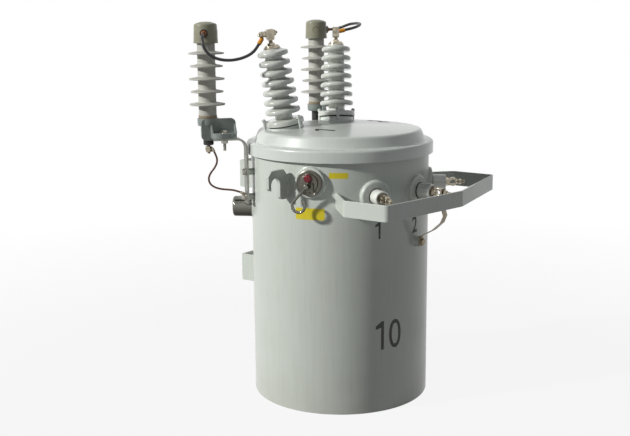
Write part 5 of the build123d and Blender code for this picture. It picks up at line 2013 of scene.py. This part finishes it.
@dataclass
class Viewpoint:
    """Camera: its place in millimetres, heading, pitch and roll in degrees, and lens."""

    place: tuple[float, float, float] = (-2129.209, -1456.504, 967.67)
    heading: float = -54.1913
    pitch: float = -11.4166
    roll: float = -0.47133
    lens: float = 58.32

    def build(self) -> None:
        """Makes the camera and sets it as the scene's."""
        camera = bpy.data.cameras.new("camera")
        camera.lens, camera.sensor_width = self.lens, 36.0
        camera.clip_start, camera.clip_end = 0.05, 100.0
        made = shown("camera", camera)
        aim = turn(Axis.Z, self.heading) @ turn(Axis.X, 90 + self.pitch) @ turn(Axis.Z, self.roll)
        made.matrix_world = Matrix((shift(*(c * MM for c in self.place)) @ aim).tolist())
        bpy.context.scene.camera = made


@dataclass
class Studio:
    """Plain pale room: a white key light from one side, a weak wide fill, an even sky and a white floor.

    Attributes:
        key_way: Direction in which the key light shines.
        key: Its power.
        key_spread: Degrees of sky that it fills, which soften its shadows.
        fill_way: Direction in which the fill shines.
        fill: Its power.
        fill_spread: Degrees of sky that it fills.
        sky: Power of the sky.
        floor_size: Width of the floor in metres.
        floor_paint: Share of light that the floor's shadowed part gives back.
        floor_glow: Share of the floor that shows plain white near the object.
        glow_ends: Metres from the object at which it starts to grow, and at which it is all of it.
    """

    key_way: tuple[float, float, float] = (0.74, -0.49, -0.46)
    key: float = 3.15
    key_spread: float = 3.5
    fill_way: tuple[float, float, float] = (-0.55, 0.75, -0.35)
    fill: float = 0.09
    fill_spread: float = 60.0
    sky: float = 0.11
    floor_size: float = 20.0
    floor_paint: float = 0.3
    floor_glow: float = 0.9
    glow_ends: tuple[float, float] = (0.8, 2.4)

    def lamp(self, name: str, way: Sequence[float], power: float, spread: float, colour: str) -> None:
        """Adds a distant lamp.

        Args:
            name: Its name.
            way: Direction in which it shines.
            power: Its power.
            spread: Degrees of sky that it fills.
            colour: Its sRGB colour.
        """
        light = bpy.data.lights.new(name, "SUN")
        light.energy, light.angle = power, math.radians(spread)
        light.color = linear(colour)[:3]
        shown(name, light).rotation_euler = Vector(way).to_track_quat("-Z", "Y").to_euler()

    def build(self) -> None:
        """Builds the lamps, the sky and the floor, and shows colours as they are written."""
        bpy.context.scene.view_settings.view_transform = "Standard"
        self.lamp("key", self.key_way, self.key, self.key_spread, "#fefffb")
        self.lamp("fill", self.fill_way, self.fill, self.fill_spread, "#f2f6ff")
        self.sky_light()
        self.floor()

    def white_rays(self, tree: Tree) -> bpy.types.Node:
        """Whether a ray is the camera's, a mirror's or a glass's: the largest of the three.

        Args:
            tree: Node tree that it joins.

        Returns:
            The node that gives 1 for those rays and 0 for all others.
        """
        path = add(tree, "LightPath").outputs
        mirror, glass = path["Is Glossy Ray"], path["Is Transmission Ray"]
        either = add(tree, "Math", {0: mirror, 1: glass}, operation="MAXIMUM")
        return add(tree, "Math", {0: path["Is Camera Ray"], 1: either}, operation="MAXIMUM")

    def sky_light(self) -> None:
        """Even sky that lights the object weakly and shows white."""
        world = bpy.data.worlds.new("sky")
        tree = emptied(world)
        lights = add(tree, "Background", {"Color": linear("#eef2fa"), "Strength": self.sky})
        shows = add(tree, "Background", {"Color": WHITE, "Strength": 1.0})
        mix = add(tree, "MixShader", {0: self.white_rays(tree), 1: lights, 2: shows})
        add(tree, "OutputWorld", {"Surface": mix})
        bpy.context.scene.world = world

    def floor(self) -> None:
        """White floor: it keeps a faint shadow near the object and turns pure white away from it."""
        half = self.floor_size / 2
        corners = np.array([(-half, -half, 0), (half, -half, 0), (half, half, 0), (-half, half, 0)])
        mesh = mesh_of(Surface(corners, [np.array([[0, 1, 2, 3]])]), "floor")
        material = bpy.data.materials.new("white floor")
        tree = emptied(material)
        paint = add(tree, "BsdfDiffuse", {"Color": (*[self.floor_paint] * 3, 1.0)})
        glow = add(tree, "Emission", {"Color": WHITE, "Strength": 1.0})
        away = add(tree, "VectorMath", {0: add(tree, "TexCoord").outputs["Object"]}, operation="LENGTH")
        ends = {"From Min": self.glow_ends[0], "From Max": self.glow_ends[1], "To Min": self.floor_glow}
        white = add(tree, "MapRange", {"Value": away.outputs["Value"], **ends})
        share = add(tree, "Math", {0: self.white_rays(tree), 1: white}, operation="MULTIPLY")
        mix = add(tree, "MixShader", {0: share, 1: paint, 2: glow})
        add(tree, "OutputMaterial", {"Surface": mix})
        mesh.materials.append(material)
        shown("floor", mesh)


# ---------------------------------------------------------------- the whole transformer
def main() -> None:
    """Builds the camera, the cords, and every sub-assembly and the room."""
    logging.basicConfig(level=logging.INFO, format="%(name)s %(message)s")
    assemblies = [
        Viewpoint(),
        *JUMPERS,
        *LEADS,
        TankShell(),
        TankCover(),
        HighVoltageSeats(),
        *[HighVoltageBushing(side) for _, side in SIDES],
        *[Arrester(side) for _, side in SIDES],
        ArresterStraps(),
        LowVoltageSeats(),
        *[LowVoltageBushing(number) for number in (1, 2, 3)],
        WeldedFittings(),
        NeutralLink(),
        TapChanger(),
        Breaker(),
        BreakerHandle(),
        CableLugs(),
        Studio(),
    ]
    for assembly in assemblies:
        LOG.info("building %s", type(assembly).__name__)
        assembly.build()


if __name__ == "__main__":
    main()
